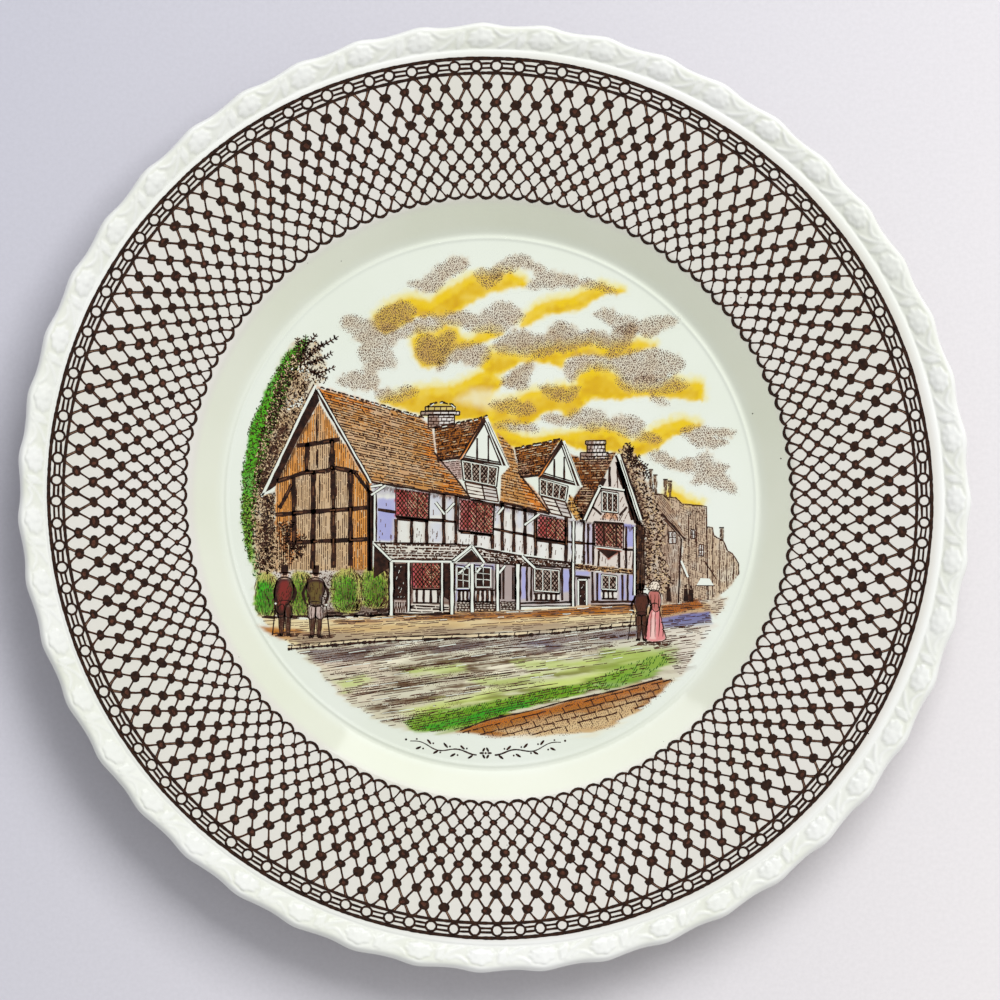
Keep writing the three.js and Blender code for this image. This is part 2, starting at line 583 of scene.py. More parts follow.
HALF_CELL = math.pi / CELLS
OUTER_LINE, BEAD_RADIUS, INNER_LINE = 117.6, 115.65, 113.7
BEAD, BEAD_LINE = 1.42, 0.62    # radius of a bead's drawn ring, and the width of its line
KNOT_ROWS = [110.3, 106.0, 102.0, 98.4, 95.0, 92.0, 89.2, 86.7, 84.4]
KNOT_WIDTHS = [2.95, 3.1, 3.0, 2.85, 2.5, 2.3, 2.15, 1.95, 1.7]
SCALLOP_CUSP = 81.9
SCALLOP_DEPTH = 1.0
STRAND_LIFT, LINE_LIFT, INK_LIFT, SCALLOP_LIFT, RUST_LIFT = 0.03, 0.045, 0.06, 0.065, 0.075
SPECK_LIFT = 0.02
TURN = 2 * math.pi


def at(radius, angle):
    return (radius * math.cos(angle), radius * math.sin(angle))


def arc(radii, angles):
    return np.stack([radii * np.cos(angles), radii * np.sin(angles)], 1)


def uneven(angle, amount, seed):
    """A slow, closed wander around the rim."""
    total = 0
    rng = np.random.default_rng(seed)
    for waves in (3, 5, 9, 14, 23, 37):
        total = total + rng.uniform(0.3, 1) * np.sin(waves * angle + rng.uniform(0, 6.28))
    return amount * total / 3


def ring_line(print_, radius, width, seed):
    angle = np.linspace(0, TURN, 900, endpoint=False)
    print_.stroke(arc(radius + uneven(angle, 0.08, seed), angle), width, closed=True, rough=0.14)


def bead_border():
    """A string of beads between two lines, each bead joined to the next by two strokes."""
    ink = Print((PRINT_X, PRINT_Y))
    ring_line(ink, OUTER_LINE, 0.95, 1)
    ring_line(ink, INNER_LINE, 0.84, 2)
    cells = np.arange(CELLS + 1)
    angles = 2 * HALF_CELL * cells + 0.002 * mottle(cells, 0, 1, 21)
    radii = BEAD_RADIUS + 0.12 * mottle(cells, 0, 1, 22)
    angles[-1], radii[-1] = angles[0] + TURN, radii[0]
    circle = np.linspace(0, TURN, 20, endpoint=False)
    for i in range(CELLS):
        x, y = at(radii[i], angles[i])
        tall, wide = BEAD * random.uniform(0.94, 1.05), BEAD * random.uniform(0.96, 1.06)
        c, s = math.cos(angles[i]), math.sin(angles[i])
        u, v = tall * np.cos(circle), wide * np.sin(circle)
        ring = np.stack([x + u * c - v * s, y + u * s + v * c], 1)
        ink.stroke(ring, BEAD_LINE, closed=True, rough=0.2)
        run = np.linspace(angles[i] + BEAD / radii[i], angles[i + 1] - BEAD / radii[i + 1], 3)
        for side in (-0.6, 0.62):
            r = np.linspace(radii[i], radii[i + 1], 3) + side + random.uniform(-0.08, 0.08)
            ink.stroke(arc(r, run), BEAD_LINE, rough=0.2)
    lay_down(ink, "rim_bead_border", RIM_INK, INK_LIFT)


def knot_places():
    """Where the knot of each row and cell sits, as radius and angle, a little off its even place."""
    rng = np.random.default_rng(11)
    places = {}
    for row, radius in enumerate(KNOT_ROWS):
        offset = HALF_CELL if row % 2 == 0 else 0
        for cell in range(CELLS):
            angle = 2 * cell * HALF_CELL + offset
            stray = rng.uniform(-1, 1, 2) * (0.26, 0.22)
            slow = uneven(np.array(angle), 0.28, 30 + row)
            places[row, cell] = (radius + stray[0] + float(slow), angle + stray[1] / radius)
    return places


def net_ends(places, row, cell, side):
    """The ends of one strand. Row -1 hangs from the inner line, and the last row meets the scallops."""
    if row == -1:
        angle = 2 * cell * HALF_CELL
        start = at(INNER_LINE, angle + (side - 0.5) * 0.5 * HALF_CELL)
        return start, at(*places[0, (cell if side else cell - 1) % CELLS])
    start = at(*places[row, cell])
    step = cell + side if row % 2 == 0 else cell + side - 1
    if row + 1 < len(KNOT_ROWS):
        return start, at(*places[row + 1, step % CELLS])
    angle = 2 * step * HALF_CELL
    return start, at(SCALLOP_CUSP - 0.25, angle + (0.5 - side) * 0.4 * HALF_CELL)


def strand(pale, fine, start, stop, size):
    """One strand: two thin lines that part a little and flare at the knots, over a paler brown."""
    a, b = np.array(start), np.array(stop)
    along = (b - a) / np.linalg.norm(b - a)
    across = np.array([-along[1], along[0]])
    t = np.linspace(0, 1, 7)
    flare = np.abs(2 * t - 1) ** 3
    bow = across * random.uniform(-0.1, 0.1) * np.sin(math.pi * t)[:, None]
    middle = a * (1 - t[:, None]) + b * t[:, None] + bow
    pale.stroke(middle, size * (0.5 + 0.5 * flare), rough=0.1)
    part = random.choice([0.05, 0.13, 0.2])
    for side in (-1, 1):
        shift = side * size * (part + 0.16 * flare)
        weight = 0.29 + 0.05 * random.uniform(-1, 1)
        fine.stroke(middle + across * shift[:, None], weight + 0.16 * flare, rough=0.25)


def lattice_strands(places):
    """The net that fills the rim."""
    pale, fine = Print((PRINT_X, PRINT_Y)), Print((PRINT_X, PRINT_Y))
    for row in range(-1, len(KNOT_ROWS)):
        size = 0.74 + 0.3 * (1 - (row + 1) / len(KNOT_ROWS))
        for cell in range(CELLS):
            for side in (0, 1):
                strand(pale, fine, *net_ends(places, row, cell, side), size)
    lay_down(pale, "rim_lattice_strands", RIM_PALE_INK, STRAND_LIFT)
    lay_down(fine, "rim_lattice_lines", RIM_FINE_INK, LINE_LIFT)


def lattice_knots(places):
    """The knots that tie the net, most of them with a rusty light."""
    knots, rust = Print((PRINT_X, PRINT_Y)), Print((PRINT_X, PRINT_Y))
    for (row, _), (radius, angle) in places.items():
        x, y = at(radius, angle)
        wide = KNOT_WIDTHS[row] * random.uniform(0.88, 1.12)
        tall = wide * random.uniform(0.74, 0.86)
        turn = angle + random.uniform(-0.25, 0.25)
        knots.spot(x, y, tall, wide, turn, 12, 0.12)
        dx, dy = random.uniform(-0.1, 0.1, 2) * wide
        if random.random() < 0.7:
            light_tall, light_wide = tall * random.uniform(0.25, 0.5), wide * random.uniform(0.25, 0.5)
            rust.spot(x + dx, y + dy, light_tall, light_wide, turn, 8, 0.25)
    lay_down(knots, "rim_lattice_knots", RIM_INK, INK_LIFT)
    lay_down(rust, "rim_knot_lights", RUST_INK, RUST_LIFT)


def scalloped_border():
    """The lattice ends in a row of rope-like arcs, each laid over the end of the one before."""
    ink = Print((PRINT_X, PRINT_Y))
    t = np.linspace(-1.05, 1.15, 13)
    for cell in range(CELLS):
        middle = (2 * cell + 1) * HALF_CELL
        depth = SCALLOP_DEPTH * random.uniform(0.85, 1.1)
        r = SCALLOP_CUSP - depth * (1 - t**2) + uneven(np.array(middle), 0.3, 50)
        ink.stroke(arc(r, middle + t * HALF_CELL), random.uniform(0.72, 0.88), taper=0.4, rough=0.14)
    lay_down(ink, "rim_scalloped_border", RIM_INK, SCALLOP_LIFT)


def kiln_specks():
    """Dark specks in the glaze of the rim and the moulded edge."""
    specks = Print()
    for angle in random.uniform(0, TURN, 30):
        size = random.uniform(0.15, 0.4)
        x, y = at(random.uniform(WELL_LINE + 1.1, RIM_END - 0.4), angle)
        specks.spot(x, y, size, size * random.uniform(0.7, 1.2), angle, 7, 0.25)
    lay_down(specks, "kiln_specks", RIM_INK, SPECK_LIFT)


bead_border()
knot_map = knot_places()
lattice_strands(knot_map)
lattice_knots(knot_map)
scalloped_border()
kiln_specks()

# ---------------------------------------------------------------- tools for the picture in the well

PICTURE_X, PICTURE_Y = -0.45, -1.1      # the picture was laid a little off centre too
WASH_LIFT = 0.02

PICTURE_INK = ink_material("picture_ink", (30, 14, 8), (62, 34, 22))
LINE_INK = ink_material("picture_line_ink", (50, 24, 13), (90, 54, 34))
SOFT_INK = ink_material("picture_soft_ink", (84, 58, 44), (122, 92, 76))
TIMBER_INK = ink_material("timber_ink", (84, 52, 32), (110, 72, 46))
LEAF_INK = ink_material("leaf_ink", (24, 70, 14), (62, 118, 28))
PALE_INK = ink_material("picture_pale_ink", (196, 164, 122), (228, 204, 164))
BARE = wash_material("bare_glaze")


def upright_box(x0, x1, top, foot):
    """The outline of an upright rectangle, from its lower left corner."""
    return [(x0, foot), (x1, foot), (x1, top), (x0, top)]


class Panel:
    """A four-cornered face in the picture, seen at a slant.

    A place on it is a share of its width, from the left, and of its height, from the bottom.
    """

    def __init__(self, low_left, low_right, top_right, top_left):
        self.corners = [np.array(p, float) for p in (low_left, low_right, top_right, top_left)]

    def at(self, u, v):
        a, b, c, d = self.corners
        return (a * (1 - u) + b * u) * (1 - v) + (d * (1 - u) + c * u) * v

    def outline(self, u0=0.0, v0=0.0, u1=1.0, v1=1.0):
        return [self.at(u0, v0), self.at(u1, v0), self.at(u1, v1), self.at(u0, v1)]

    def line(self, print_, u0, v0, u1, v1, width, **options):
        print_.line(*self.at(u0, v0), *self.at(u1, v1), width, **options)


SUBJECTS = []


class Drawing:
    """One subject of the picture, in layers, from its stipple up to the ink over its bare lights.

    A later subject hides the marks that it covers.
    """

    LAYERS = {
        "stipple": (SOFT_INK, 0.03),
        "green": (LEAF_INK, 0.036),
        "lines": (LINE_INK, 0.042),
        "pale": (PALE_INK, 0.047),
        "ink": (PICTURE_INK, 0.052),
        "timber": (TIMBER_INK, 0.057),
        "lights": (BARE, 0.062),
        "over": (PICTURE_INK, 0.068),
    }

    def __init__(self, name):
        self.name = name
        self.covers = []
        for layer in self.LAYERS:
            setattr(self, layer, Print((PICTURE_X, PICTURE_Y)))
        SUBJECTS.append(self)

    def lay(self, covers):
        for layer, (material, lift) in self.LAYERS.items():
            print_ = getattr(self, layer)
            print_.leave_out(covers)
            if print_.faces:
                piece = lay_down(print_, f"{self.name}_{layer}", material, lift)
                if material is BARE:
                    tint(piece.data, np.ones((len(piece.data.vertices), 3)))


def lay_subjects():
    """Lays every subject's marks, less those that the later subjects cover."""
    for k, subject in enumerate(SUBJECTS):
        subject.lay([cover for later in SUBJECTS[k + 1:] for cover in later.covers])


def tint(mesh, colours):
    """Stores the painted colour of each point."""
    layer = mesh.color_attributes.new("paint", "FLOAT_COLOR", "POINT")
    rgba = np.concatenate([colours, np.ones((len(colours), 1))], 1).astype(np.float32)
    layer.data.foreach_set("color", rgba.ravel())


def runs_inside(a, b, outline):
    """The stretches of the line from a to b that lie inside an outline, as pairs of points."""
    a, b, corners = np.asarray(a, float), np.asarray(b, float), np.asarray(outline, float)
    d = b - a
    cuts = []
    for p, r in zip(corners, np.roll(corners, -1, 0)):
        e = r - p
        cross = d[0] * e[1] - d[1] * e[0]
        if abs(cross) < 1e-9:
            continue
        t = ((p[0] - a[0]) * e[1] - (p[1] - a[1]) * e[0]) / cross
        s = ((p[0] - a[0]) * d[1] - (p[1] - a[1]) * d[0]) / cross
        if 0 <= s < 1:
            cuts.append(t)
    cuts.sort()
    pairs = [(max(s, 0), min(e, 1)) for s, e in zip(cuts[::2], cuts[1::2])]
    return [(a + d * s, a + d * e) for s, e in pairs if e > s]


def dashes(print_, a, b, width, dash, keep, sway=0.05):
    """A ruled line, whole or broken into dashes of about the given length. keep is the share drawn."""
    length = float(np.hypot(*(b - a)))
    if length < 0.15:
        return
    if dash is None:
        print_.line(*a, *b, width, parts=max(2, int(length / 2.5)), sway=sway, rough=0.25)
        return
    place = random.uniform(-dash, 0)
    while place < length:
        run = dash * random.uniform(0.5, 1.5)
        start, stop = max(place, 0), min(place + run, length)
        if stop - start > 0.1 and random.random() < keep:
            p, q = a + (b - a) * start / length, a + (b - a) * stop / length
            print_.line(*p, *q, width * random.uniform(0.75, 1.25), parts=2, sway=sway, rough=0.25)
        place += run + random.uniform(0.12, 0.4)


def hatch(print_, outline, turn, pitch, width, dash=None, keep=1.0, sway=0.05):
    """Parallel lines across an outline. turn is their slope in degrees."""
    corners = np.asarray(outline, float)
    c, s = math.cos(math.radians(turn)), math.sin(math.radians(turn))
    along, across = corners @ (c, s), corners @ (-s, c)
    low, high = along.min() - 1, along.max() + 1
    for level in np.arange(across.min() + pitch * 0.4, across.max(), pitch):
        level += random.uniform(-0.12, 0.12) * pitch
        a = np.array([c * low - s * level, s * low + c * level])
        b = np.array([c * high - s * level, s * high + c * level])
        for p, r in runs_inside(a, b, corners):
            dashes(print_, p, r, width, dash, keep, sway)


def scatter(outline, pitch, reach=0.0):
    """Jittered points in and around an outline, with their distance inside it."""
    corners = np.asarray(outline, float)
    low, high = corners.min(0) - reach, corners.max(0) + reach
    x, y = np.meshgrid(np.arange(low[0], high[0], pitch), np.arange(low[1], high[1], pitch * 0.87))
    x[1::2] += pitch / 2
    x = x + random.uniform(-0.3, 0.3, x.shape) * pitch
    y = y + random.uniform(-0.3, 0.3, y.shape) * pitch
    depth = inside_distance(x, y, corners)
    keep = depth > -reach
    return np.column_stack([x[keep], y[keep], depth[keep]])


def stipple(print_, outline, pitch, dark, core, ragged):
    """Dots that thin out towards the edge of an outline, in ragged drifts."""
    for x, y, depth in scatter(outline, pitch, 0.8):
        drift = float(mottle(x * 0.5, y, 1.6, 61)) + 0.6 * float(mottle(x, y, 0.8, 62))
        weight = float(smooth(-0.9, core, depth + ragged * drift)) * dark
        if weight > 0.1 and random.random() < 0.4 + weight:
            size = (0.28 + 0.26 * weight * random.uniform(0.7, 1.2)) * pitch + 0.03
            print_.spot(x, y, size, size * random.uniform(0.8, 1.4), random.uniform(0, 3.1), 5, 0.2)


def curls(print_, outline, pitch, size, width, chance):
    """Little curved strokes that stand for leaves."""
    t = np.linspace(-1.2, 1.2, 5)
    for x, y, depth in scatter(outline, pitch):
        if random.random() < chance:
            r = size * random.uniform(0.6, 1.2)
            turn = random.uniform(0, 2 * math.pi)
            line = np.stack([x + r * np.cos(turn + t), y + r * np.sin(turn + t)], 1)
            print_.stroke(line, width * random.uniform(0.7, 1.3), taper=0.6, rough=0.2)


def leaves(print_, outline, pitch, size, chance):
    """Small filled leaves that point every way."""
    for x, y, depth in scatter(outline, pitch):
        if random.random() < chance:
            long = size * random.uniform(0.7, 1.3)
            print_.spot(x, y, long * 0.42, long, random.uniform(0, 3.1), 6, 0.25)


def courses(drawing, panel, outline, rows, width, dash, ticks, pale=0.35):
    """Rows of roof tiles: broken lines, short upright ticks between them, and pale edges here and there."""
    sway = 0.07
    for k in range(rows):
        v = (k + 0.5 + random.uniform(-0.18, 0.18)) / rows
        for p, q in runs_inside(panel.at(-0.2, v), panel.at(1.2, v), outline):
            dashes(drawing.lines, p, q, width, dash, 0.96, sway)
        for p, q in runs_inside(panel.at(-0.2, v + 0.5 / rows), panel.at(1.2, v + 0.5 / rows), outline):
            dashes(drawing.pale, p, q, 0.17, dash * 0.6, pale, sway)
        for u in np.arange(-0.2, 1.2, 0.035):
            if random.random() < ticks:
                u += random.uniform(0, 0.03)
                top, low = panel.at(u, v), panel.at(u, v - random.uniform(0.5, 1.0) / rows)
                for p, q in runs_inside(top, low, outline):
                    drawing.lines.line(*p, *q, width * 0.8, parts=1)


def beam(drawing, a, b, width):
    """A timber: dark edges, and a paler heart in a stout one."""
    a, b = np.asarray(a, float), np.asarray(b, float)
    parts = max(3, int(np.hypot(*(b - a)) / 1.6))
    drawing.ink.line(*a, *b, width, parts=parts, sway=0.09, rough=0.2)
    if width > 0.7:
        dashes(drawing.timber, a, b, width * 0.26, 1.8, 0.35)


def diamonds(print_, outline, pitch, width, slope=52):
    """The leads of a lattice window."""
    for turn in (slope, -slope):
        hatch(print_, outline, turn, pitch, width, sway=0.03)


def frame_lines(print_, panel, width, bars=0, cross=0):
    """A panel's outline, with upright bars and cross bars."""
    corners = panel.outline()
    for a, b in zip(corners, corners[1:] + corners[:1]):
        print_.line(*a, *b, width)
    for k in range(bars):
        u = (k + 1) / (bars + 1)
        panel.line(print_, u, 0, u, 1, width * 0.8)
    for k in range(cross):
        v = (k + 1) / (cross + 1)
        panel.line(print_, 0, v, 1, v, width * 0.8)


WASHES = []
SHEEN = np.array([0.008, 0.014, 0.028])     # light that the glaze adds to every colour under it
DEEPEST = 0.003                             # no paint is darker than this
FAINTEST = 0.012                            # where the paint is fainter than this, there is no skin
STREET_TOP = -26.0      # below this the brush ran along the street, and left long streaks


def wash(colour, outline, soft, strength=1.0, blotch=0.12, ragged=0.25, core=0.0):
    """Notes one brushful of colour. soft is how far its edge runs out, core how far inside it starts."""
    WASHES.append((colour, outline, soft, strength, blotch, ragged, core))


def mixed_paint(x, y):
    """The colour of the paint at each point, with the brushfuls laid in order, as a share of the well's."""
    colour = np.ones((*x.shape, 3))
    paper = np.array(srgb(*WELL_WHITE))
    along = np.where(y < STREET_TOP, (x - 4 * y) / 4, x)
    edge_noise = mottle(along, y, 1.1, 71) + 0.5 * mottle(along, y, 0.5, 72)
    broad_noise = mottle(along, y, 3.1, 73) + 0.6 * mottle(along, y, 1.3, 74)
    for look, outline, soft, strength, blotch, ragged, core in WASHES:
        corners = np.asarray(outline, float)
        reach = soft + 2 * ragged + 0.5
        i0, i1 = np.searchsorted(x[0], [corners[:, 0].min() - reach, corners[:, 0].max() + reach])
        j0, j1 = np.searchsorted(y[:, 0], [corners[:, 1].min() - reach, corners[:, 1].max() + reach])
        part = np.s_[j0:j1, i0:i1]
        if x[part].size == 0:
            continue
        depth = inside_distance(x[part], y[part], corners) + ragged * edge_noise[part] - core
        share = smooth(-soft, soft, depth) * np.clip(strength + blotch * broad_noise[part], 0, 1)
        look = np.maximum(np.array(srgb(*look)) - SHEEN, DEEPEST) / paper
        colour[part] = colour[part] * (1 - share[..., None]) + look * share[..., None]
    return colour


def paint_sheet(name, box, cell):
    """Lays the brushfuls that meet a box as one thin coloured skin on the glaze."""
    x0, y0, x1, y1 = box
    columns, rows = round((x1 - x0) / cell), round((y1 - y0) / cell)
    x, y = np.meshgrid(np.linspace(x0, x1, columns + 1), np.linspace(y0, y1, rows + 1))
    colour = mixed_paint(x, y)
    painted = np.abs(colour - 1).max(2) > FAINTEST
    cells = painted[:-1, :-1] | painted[1:, :-1] | painted[:-1, 1:] | painted[1:, 1:]
    used = np.zeros(x.shape, bool)
    for part in (np.s_[:-1, :-1], np.s_[1:, :-1], np.s_[:-1, 1:], np.s_[1:, 1:]):
        used[part] |= cells
    index = np.full(x.shape, -1)
    index[used] = np.arange(used.sum())
    j, i = np.nonzero(cells)
    faces = np.stack([index[j, i], index[j, i + 1], index[j + 1, i + 1], index[j + 1, i]], 1).tolist()
    xy = np.column_stack([x[used] + PICTURE_X, y[used] + PICTURE_Y])
    z = face_height(np.hypot(xy[:, 0], xy[:, 1])) + WASH_LIFT
    material = wash_material(f"{name}_colours")
    piece = make_mesh(f"{name}_wash", np.column_stack([xy, z]), faces, material)
    tint(piece.data, colour[used])
    flat_map(piece.data)


# ---------------------------------------------------------------- the picture: sky

# Paints are given as they look on a screen, 0 to 255
PALE_GOLD, GOLD, DEEP_GOLD = (242, 226, 120), (238, 202, 50), (212, 164, 10)
CREAM, OLIVE, CLOUD_BROWN = (243, 238, 200), (156, 126, 36), (196, 162, 120)


SWELL = 0.1                     # how far the side of a cloud stands out, as a share of its length
ARC = ((0.04, 0), (0.26, 0.8), (0.5, 1), (0.74, 0.8))   # places along a side, and their share of the swell


def puffs(outline):
    """Swells each side of an outline into a low arc, as on a heaped cloud."""
    corners = np.asarray(outline, float)
    after = np.roll(corners, -1, 0)
    side = after - corners
    facing = np.sign((corners[:, 0] * after[:, 1] - after[:, 0] * corners[:, 1]).sum())
    out = np.stack([side[:, 1], -side[:, 0]], 1) * facing * SWELL
    return np.stack([corners + side * t + out * rise for t, rise in ARC], 1).reshape(-1, 2)


GOLDEN_BANDS = [
    [(-31, 50), (-28, 53), (-22, 55.5), (-16, 54.5), (-11, 58), (-5, 61.5), (0, 61.5), (5, 62.5), (9, 61),
     (9.5, 59.5), (5, 58.5), (0, 57.5), (-4, 55.5), (-8, 52.5), (-12, 51), (-20, 50.5), (-24, 48),
     (-28, 46), (-30, 47)],
    [(8, 48.3), (11, 49), (15, 51.8), (19, 52.4), (24, 53), (28, 55.8), (31, 57.5), (36, 58), (30, 59.5),
     (26, 58), (22, 56), (18, 55.5), (14, 54.5), (10, 51.5)],
    [(-21, 44), (-19, 46), (-15, 46), (-12, 48), (-9, 47.5), (-8, 45), (-6, 44), (-3, 46), (0, 46.5),
     (3, 46), (-1, 44.5), (-5, 43), (-9, 42.5), (-11, 41), (-13, 38), (-16, 37), (-18, 37), (-20, 40)],
    [(0, 35), (4, 36), (8, 38.5), (12, 39), (16, 38.5), (19, 37.5), (20, 39.5), (24, 41), (28, 41),
     (33, 40.2), (38, 41.5), (44, 43.5), (40, 44.5), (36, 43.5), (31, 42.5), (27, 44), (24, 43.5),
     (20, 42.5), (15, 42.5), (10, 40.5), (5, 41), (0, 41), (-2, 37)],
    [(24, 35), (27, 37), (31, 37), (34, 35), (36, 32.5), (40, 31), (45, 31.5), (50, 34), (57, 33), (57, 29),
     (48, 29.6), (41, 30), (35, 29), (30, 29.5), (26, 29), (22, 28), (23, 31)],
    [(10, 30), (14, 31), (20, 32), (25, 31), (26, 28.5), (23, 25.5), (21, 24), (19, 25.5), (17, 26),
     (13, 24.5), (10.5, 22), (5, 22), (0, 23), (0, 27), (6, 28)],
    [(-29, 27.5), (-20, 31), (-10, 31.5), (-4, 34.5), (0, 36), (3, 33), (0, 29), (0, 23.5), (-9, 23),
     (-17, 24)],
    [(0, 23.5), (5, 19.5), (10, 18), (20, 19), (25, 20), (30, 21), (35, 19.5), (38, 17), (42, 19.5),
     (47, 22), (52, 23.5), (56, 22), (53, 20.5), (48, 19), (45, 16), (38, 13), (34, 15), (25, 15),
     (19, 17.5), (8, 15.5), (2, 17)],
    [(48, 5), (52, 2.5), (57, 0.5), (50, -1), (47, 3)],
]
CLOUDS = [
    [(-22, 59.5), (-18, 60), (-15, 63), (-12, 65.5), (-9, 66.8), (-6, 66), (-6, 64.5), (-9, 63), (-12, 61),
     (-14, 58.5), (-15.5, 57), (-20, 58.5)],
    [(0, 62), (4, 66), (8, 67.5), (12, 65.5), (15, 63), (18, 62.5), (24, 61), (28, 60.5), (34, 57.5),
     (29, 59), (24, 60), (19, 59), (14, 59), (10, 59), (12, 61.5), (12, 64), (8, 64.5), (4, 63), (1, 60.5)],
    [(-4, 62.5), (0, 63.5), (3, 62.5), (0, 59), (-2, 59)],
    [(-40, 49), (-38, 50.5), (-34, 49.5), (-30, 48), (-24, 47), (-20, 50), (-14, 51), (-3, 51), (2, 54.5),
     (6, 54), (9, 51.5), (5, 48), (4, 46.5), (-1, 47), (-8, 48.5), (-12, 48.5), (-16, 46.5), (-20, 46.5),
     (-25, 45), (-27, 42), (-26, 40), (-25, 37.5), (-28, 36.5), (-30, 37.5), (-31, 35), (-30, 31),
     (-38, 31.5), (-41, 33), (-38, 35), (-34, 35), (-33, 38), (-35, 40), (-34, 43), (-37, 46)],
    [(-31, 50), (-28, 53), (-23, 54.5), (-20, 52), (-22, 50), (-26, 47.5), (-29, 47)],
    [(-19, 45), (-14, 45), (-11, 47), (-9.5, 46), (-11, 43), (-12, 40), (-15, 37.5), (-18, 38), (-20, 41)],
    [(-12, 42), (-8, 43.5), (-3, 43), (0, 42), (-1, 39), (-5, 37.5), (-8, 39), (-11, 39), (-14, 36)],
    [(3, 45), (8, 47.5), (12, 45.5), (15, 46), (18, 49.5), (21, 49), (24, 46.5), (28, 47), (32, 46),
     (35, 48), (39, 49), (39, 46), (37, 43.5), (34, 42), (31, 43), (28, 44), (24, 43), (18, 42),
     (12, 40.5), (7, 41), (2, 41.5), (1, 43)],
    [(28, 52), (31, 53), (35, 51.5), (40, 49.5), (45, 51), (51, 50.5), (46, 48), (43, 46), (40, 47),
     (36, 46.5), (33, 49), (30, 51)],
    [(20, 38), (23, 40.5), (30, 40.5), (36, 41), (42, 42.5), (47, 41.5), (52, 39.5), (51, 37), (48, 35.5),
     (40, 34), (36, 34.5), (33, 37), (27, 37.5), (23.5, 36), (22, 33.5), (20, 36)],
    [(34, 34), (38, 34.5), (45, 34.5), (54, 33), (48, 31.5), (42, 31), (38, 31), (35, 32)],
    [(5, 35), (8, 37.5), (12, 39), (10, 35), (10, 31.5), (6, 32), (3, 32.5)],
    [(0, 27), (4, 28.5), (9, 28), (12, 26), (9, 24.5), (5, 25.5), (1, 26)],
    [(13, 32), (17, 32), (20, 31), (24, 32), (22, 29), (19, 28.5), (15, 30)],
    [(14, 24), (17, 25), (20, 23.5), (24, 26), (28, 26), (32, 23.5), (36, 24.5), (41, 22.5), (41, 20),
     (46, 18), (43, 17.5), (38, 19), (34, 20.5), (30, 21.5), (27, 20), (24, 22), (20, 22), (16, 22.5)],
    [(51, 20.5), (54, 22), (60, 21), (66, 20.5), (64, 19), (58, 19.5), (64, 17.5), (58, 16), (55, 17),
     (53, 19)],
    [(42, 14), (45, 15), (50, 12), (55, 13), (58, 15), (60, 12), (64, 11), (62, 9.5), (66, 4), (63, 5),
     (58, 6.5), (54, 7), (56, 10), (50, 10.5), (46, 12)],
    [(0, 21), (4, 21), (9, 20), (13, 20.5), (9, 22), (3, 22)],
    [(44, 30), (48, 27.5), (46, 27.5), (43, 30.5)],
    [(-31, 30.5), (-25, 30), (-23, 31.5), (-19, 30.5), (-22, 28.5), (-27, 28), (-30, 28.5)],
]
OLIVE_CLOUDS = (4, 5, 7, 11, 13)      # the clouds with olive shade among the gold


def moved(outline, dx, dy):
    return [(x + dx, y + dy) for x, y in outline]


def sky():
    """Golden bands, each pale at its edge and deep at its heart, and brown stippled clouds."""
    for band in GOLDEN_BANDS:
        wash(PALE_GOLD, moved(band, 0, 0.9), soft=1.4, strength=0.75, ragged=0.5, core=-0.9)
    for band in GOLDEN_BANDS:
        wash(GOLD, band, soft=0.6, strength=0.95, ragged=0.3, core=-0.3)
    for band in GOLDEN_BANDS:
        wash(DEEP_GOLD, moved(band, 0, -0.7), soft=0.8, strength=0.5, ragged=0.6, core=1.1, blotch=0.3)
    wash(CREAM, [(-9, 28), (-5, 31), (0, 31), (4, 29), (0, 26)], soft=1.6, strength=0.7)
    clouds = [puffs(cloud) for cloud in CLOUDS]
    for k in OLIVE_CLOUDS:
        wash(OLIVE, clouds[k], soft=0.9, strength=0.28, ragged=0.6, core=0.3)
    drawing = Drawing("sky")
    for cloud in clouds:
        wash(CLOUD_BROWN, cloud, soft=0.9, strength=0.42, ragged=0.6, core=-0.2)
        stipple(drawing.stipple, cloud, 0.49, 1.3, 0.5, 0.6)


# ---------------------------------------------------------------- the picture: the gable end on the left

GREY_BOARD, ORANGE_BOARD, PALE_BOARD = (206, 174, 138), (216, 146, 78), (206, 172, 134)
BARGE_SHADOW = (120, 84, 60)

GABLE_WALL = [(-57.3, -20), (-32.6, -18), (-32.6, 5), (-45.8, 27), (-57.3, 5)]


def gable_boards(drawing):
    """The gable end's grey and orange boards, with dark cracks here and there."""
    wash(GREY_BOARD, GABLE_WALL, soft=0.2, ragged=0.08)
    orange = [
        [(-57.3, -10), (-52.6, -10), (-52.6, 6.5), (-49.3, 8.5), (-49.3, 20), (-57.3, 5)],
        [(-37.2, -18), (-32.6, -18), (-32.6, 5), (-38.5, 16), (-42.3, 16.5), (-42.3, 9.4), (-37.2, 8.6)],
        [(-51.5, 15.6), (-40.3, 17), (-45.8, 27)],
    ]
    for panel in orange:
        wash(ORANGE_BOARD, panel, soft=0.45, ragged=0.2, blotch=0.2)
    wash(PALE_BOARD, [(-47.6, 16), (-44, 16.4), (-44.8, 25), (-46.6, 25)], soft=0.6, strength=0.6)
    hatch(drawing.lines, GABLE_WALL, 89.5, 0.56, 0.2, 3.0, 0.9, 0.03)
    hatch(drawing.pale, GABLE_WALL, 89.5, 0.84, 0.15, 1.8, 0.5, 0.03)
    for x, low, high in ((-46.4, 16, 24), (-46.2, 9.5, 14.5), (-45.6, 0, 7.5), (-45.6, -9, -2.5)):
        drawing.ink.line(x, low, x, high, 0.42, sway=0.1, rough=0.5, taper=0.5)


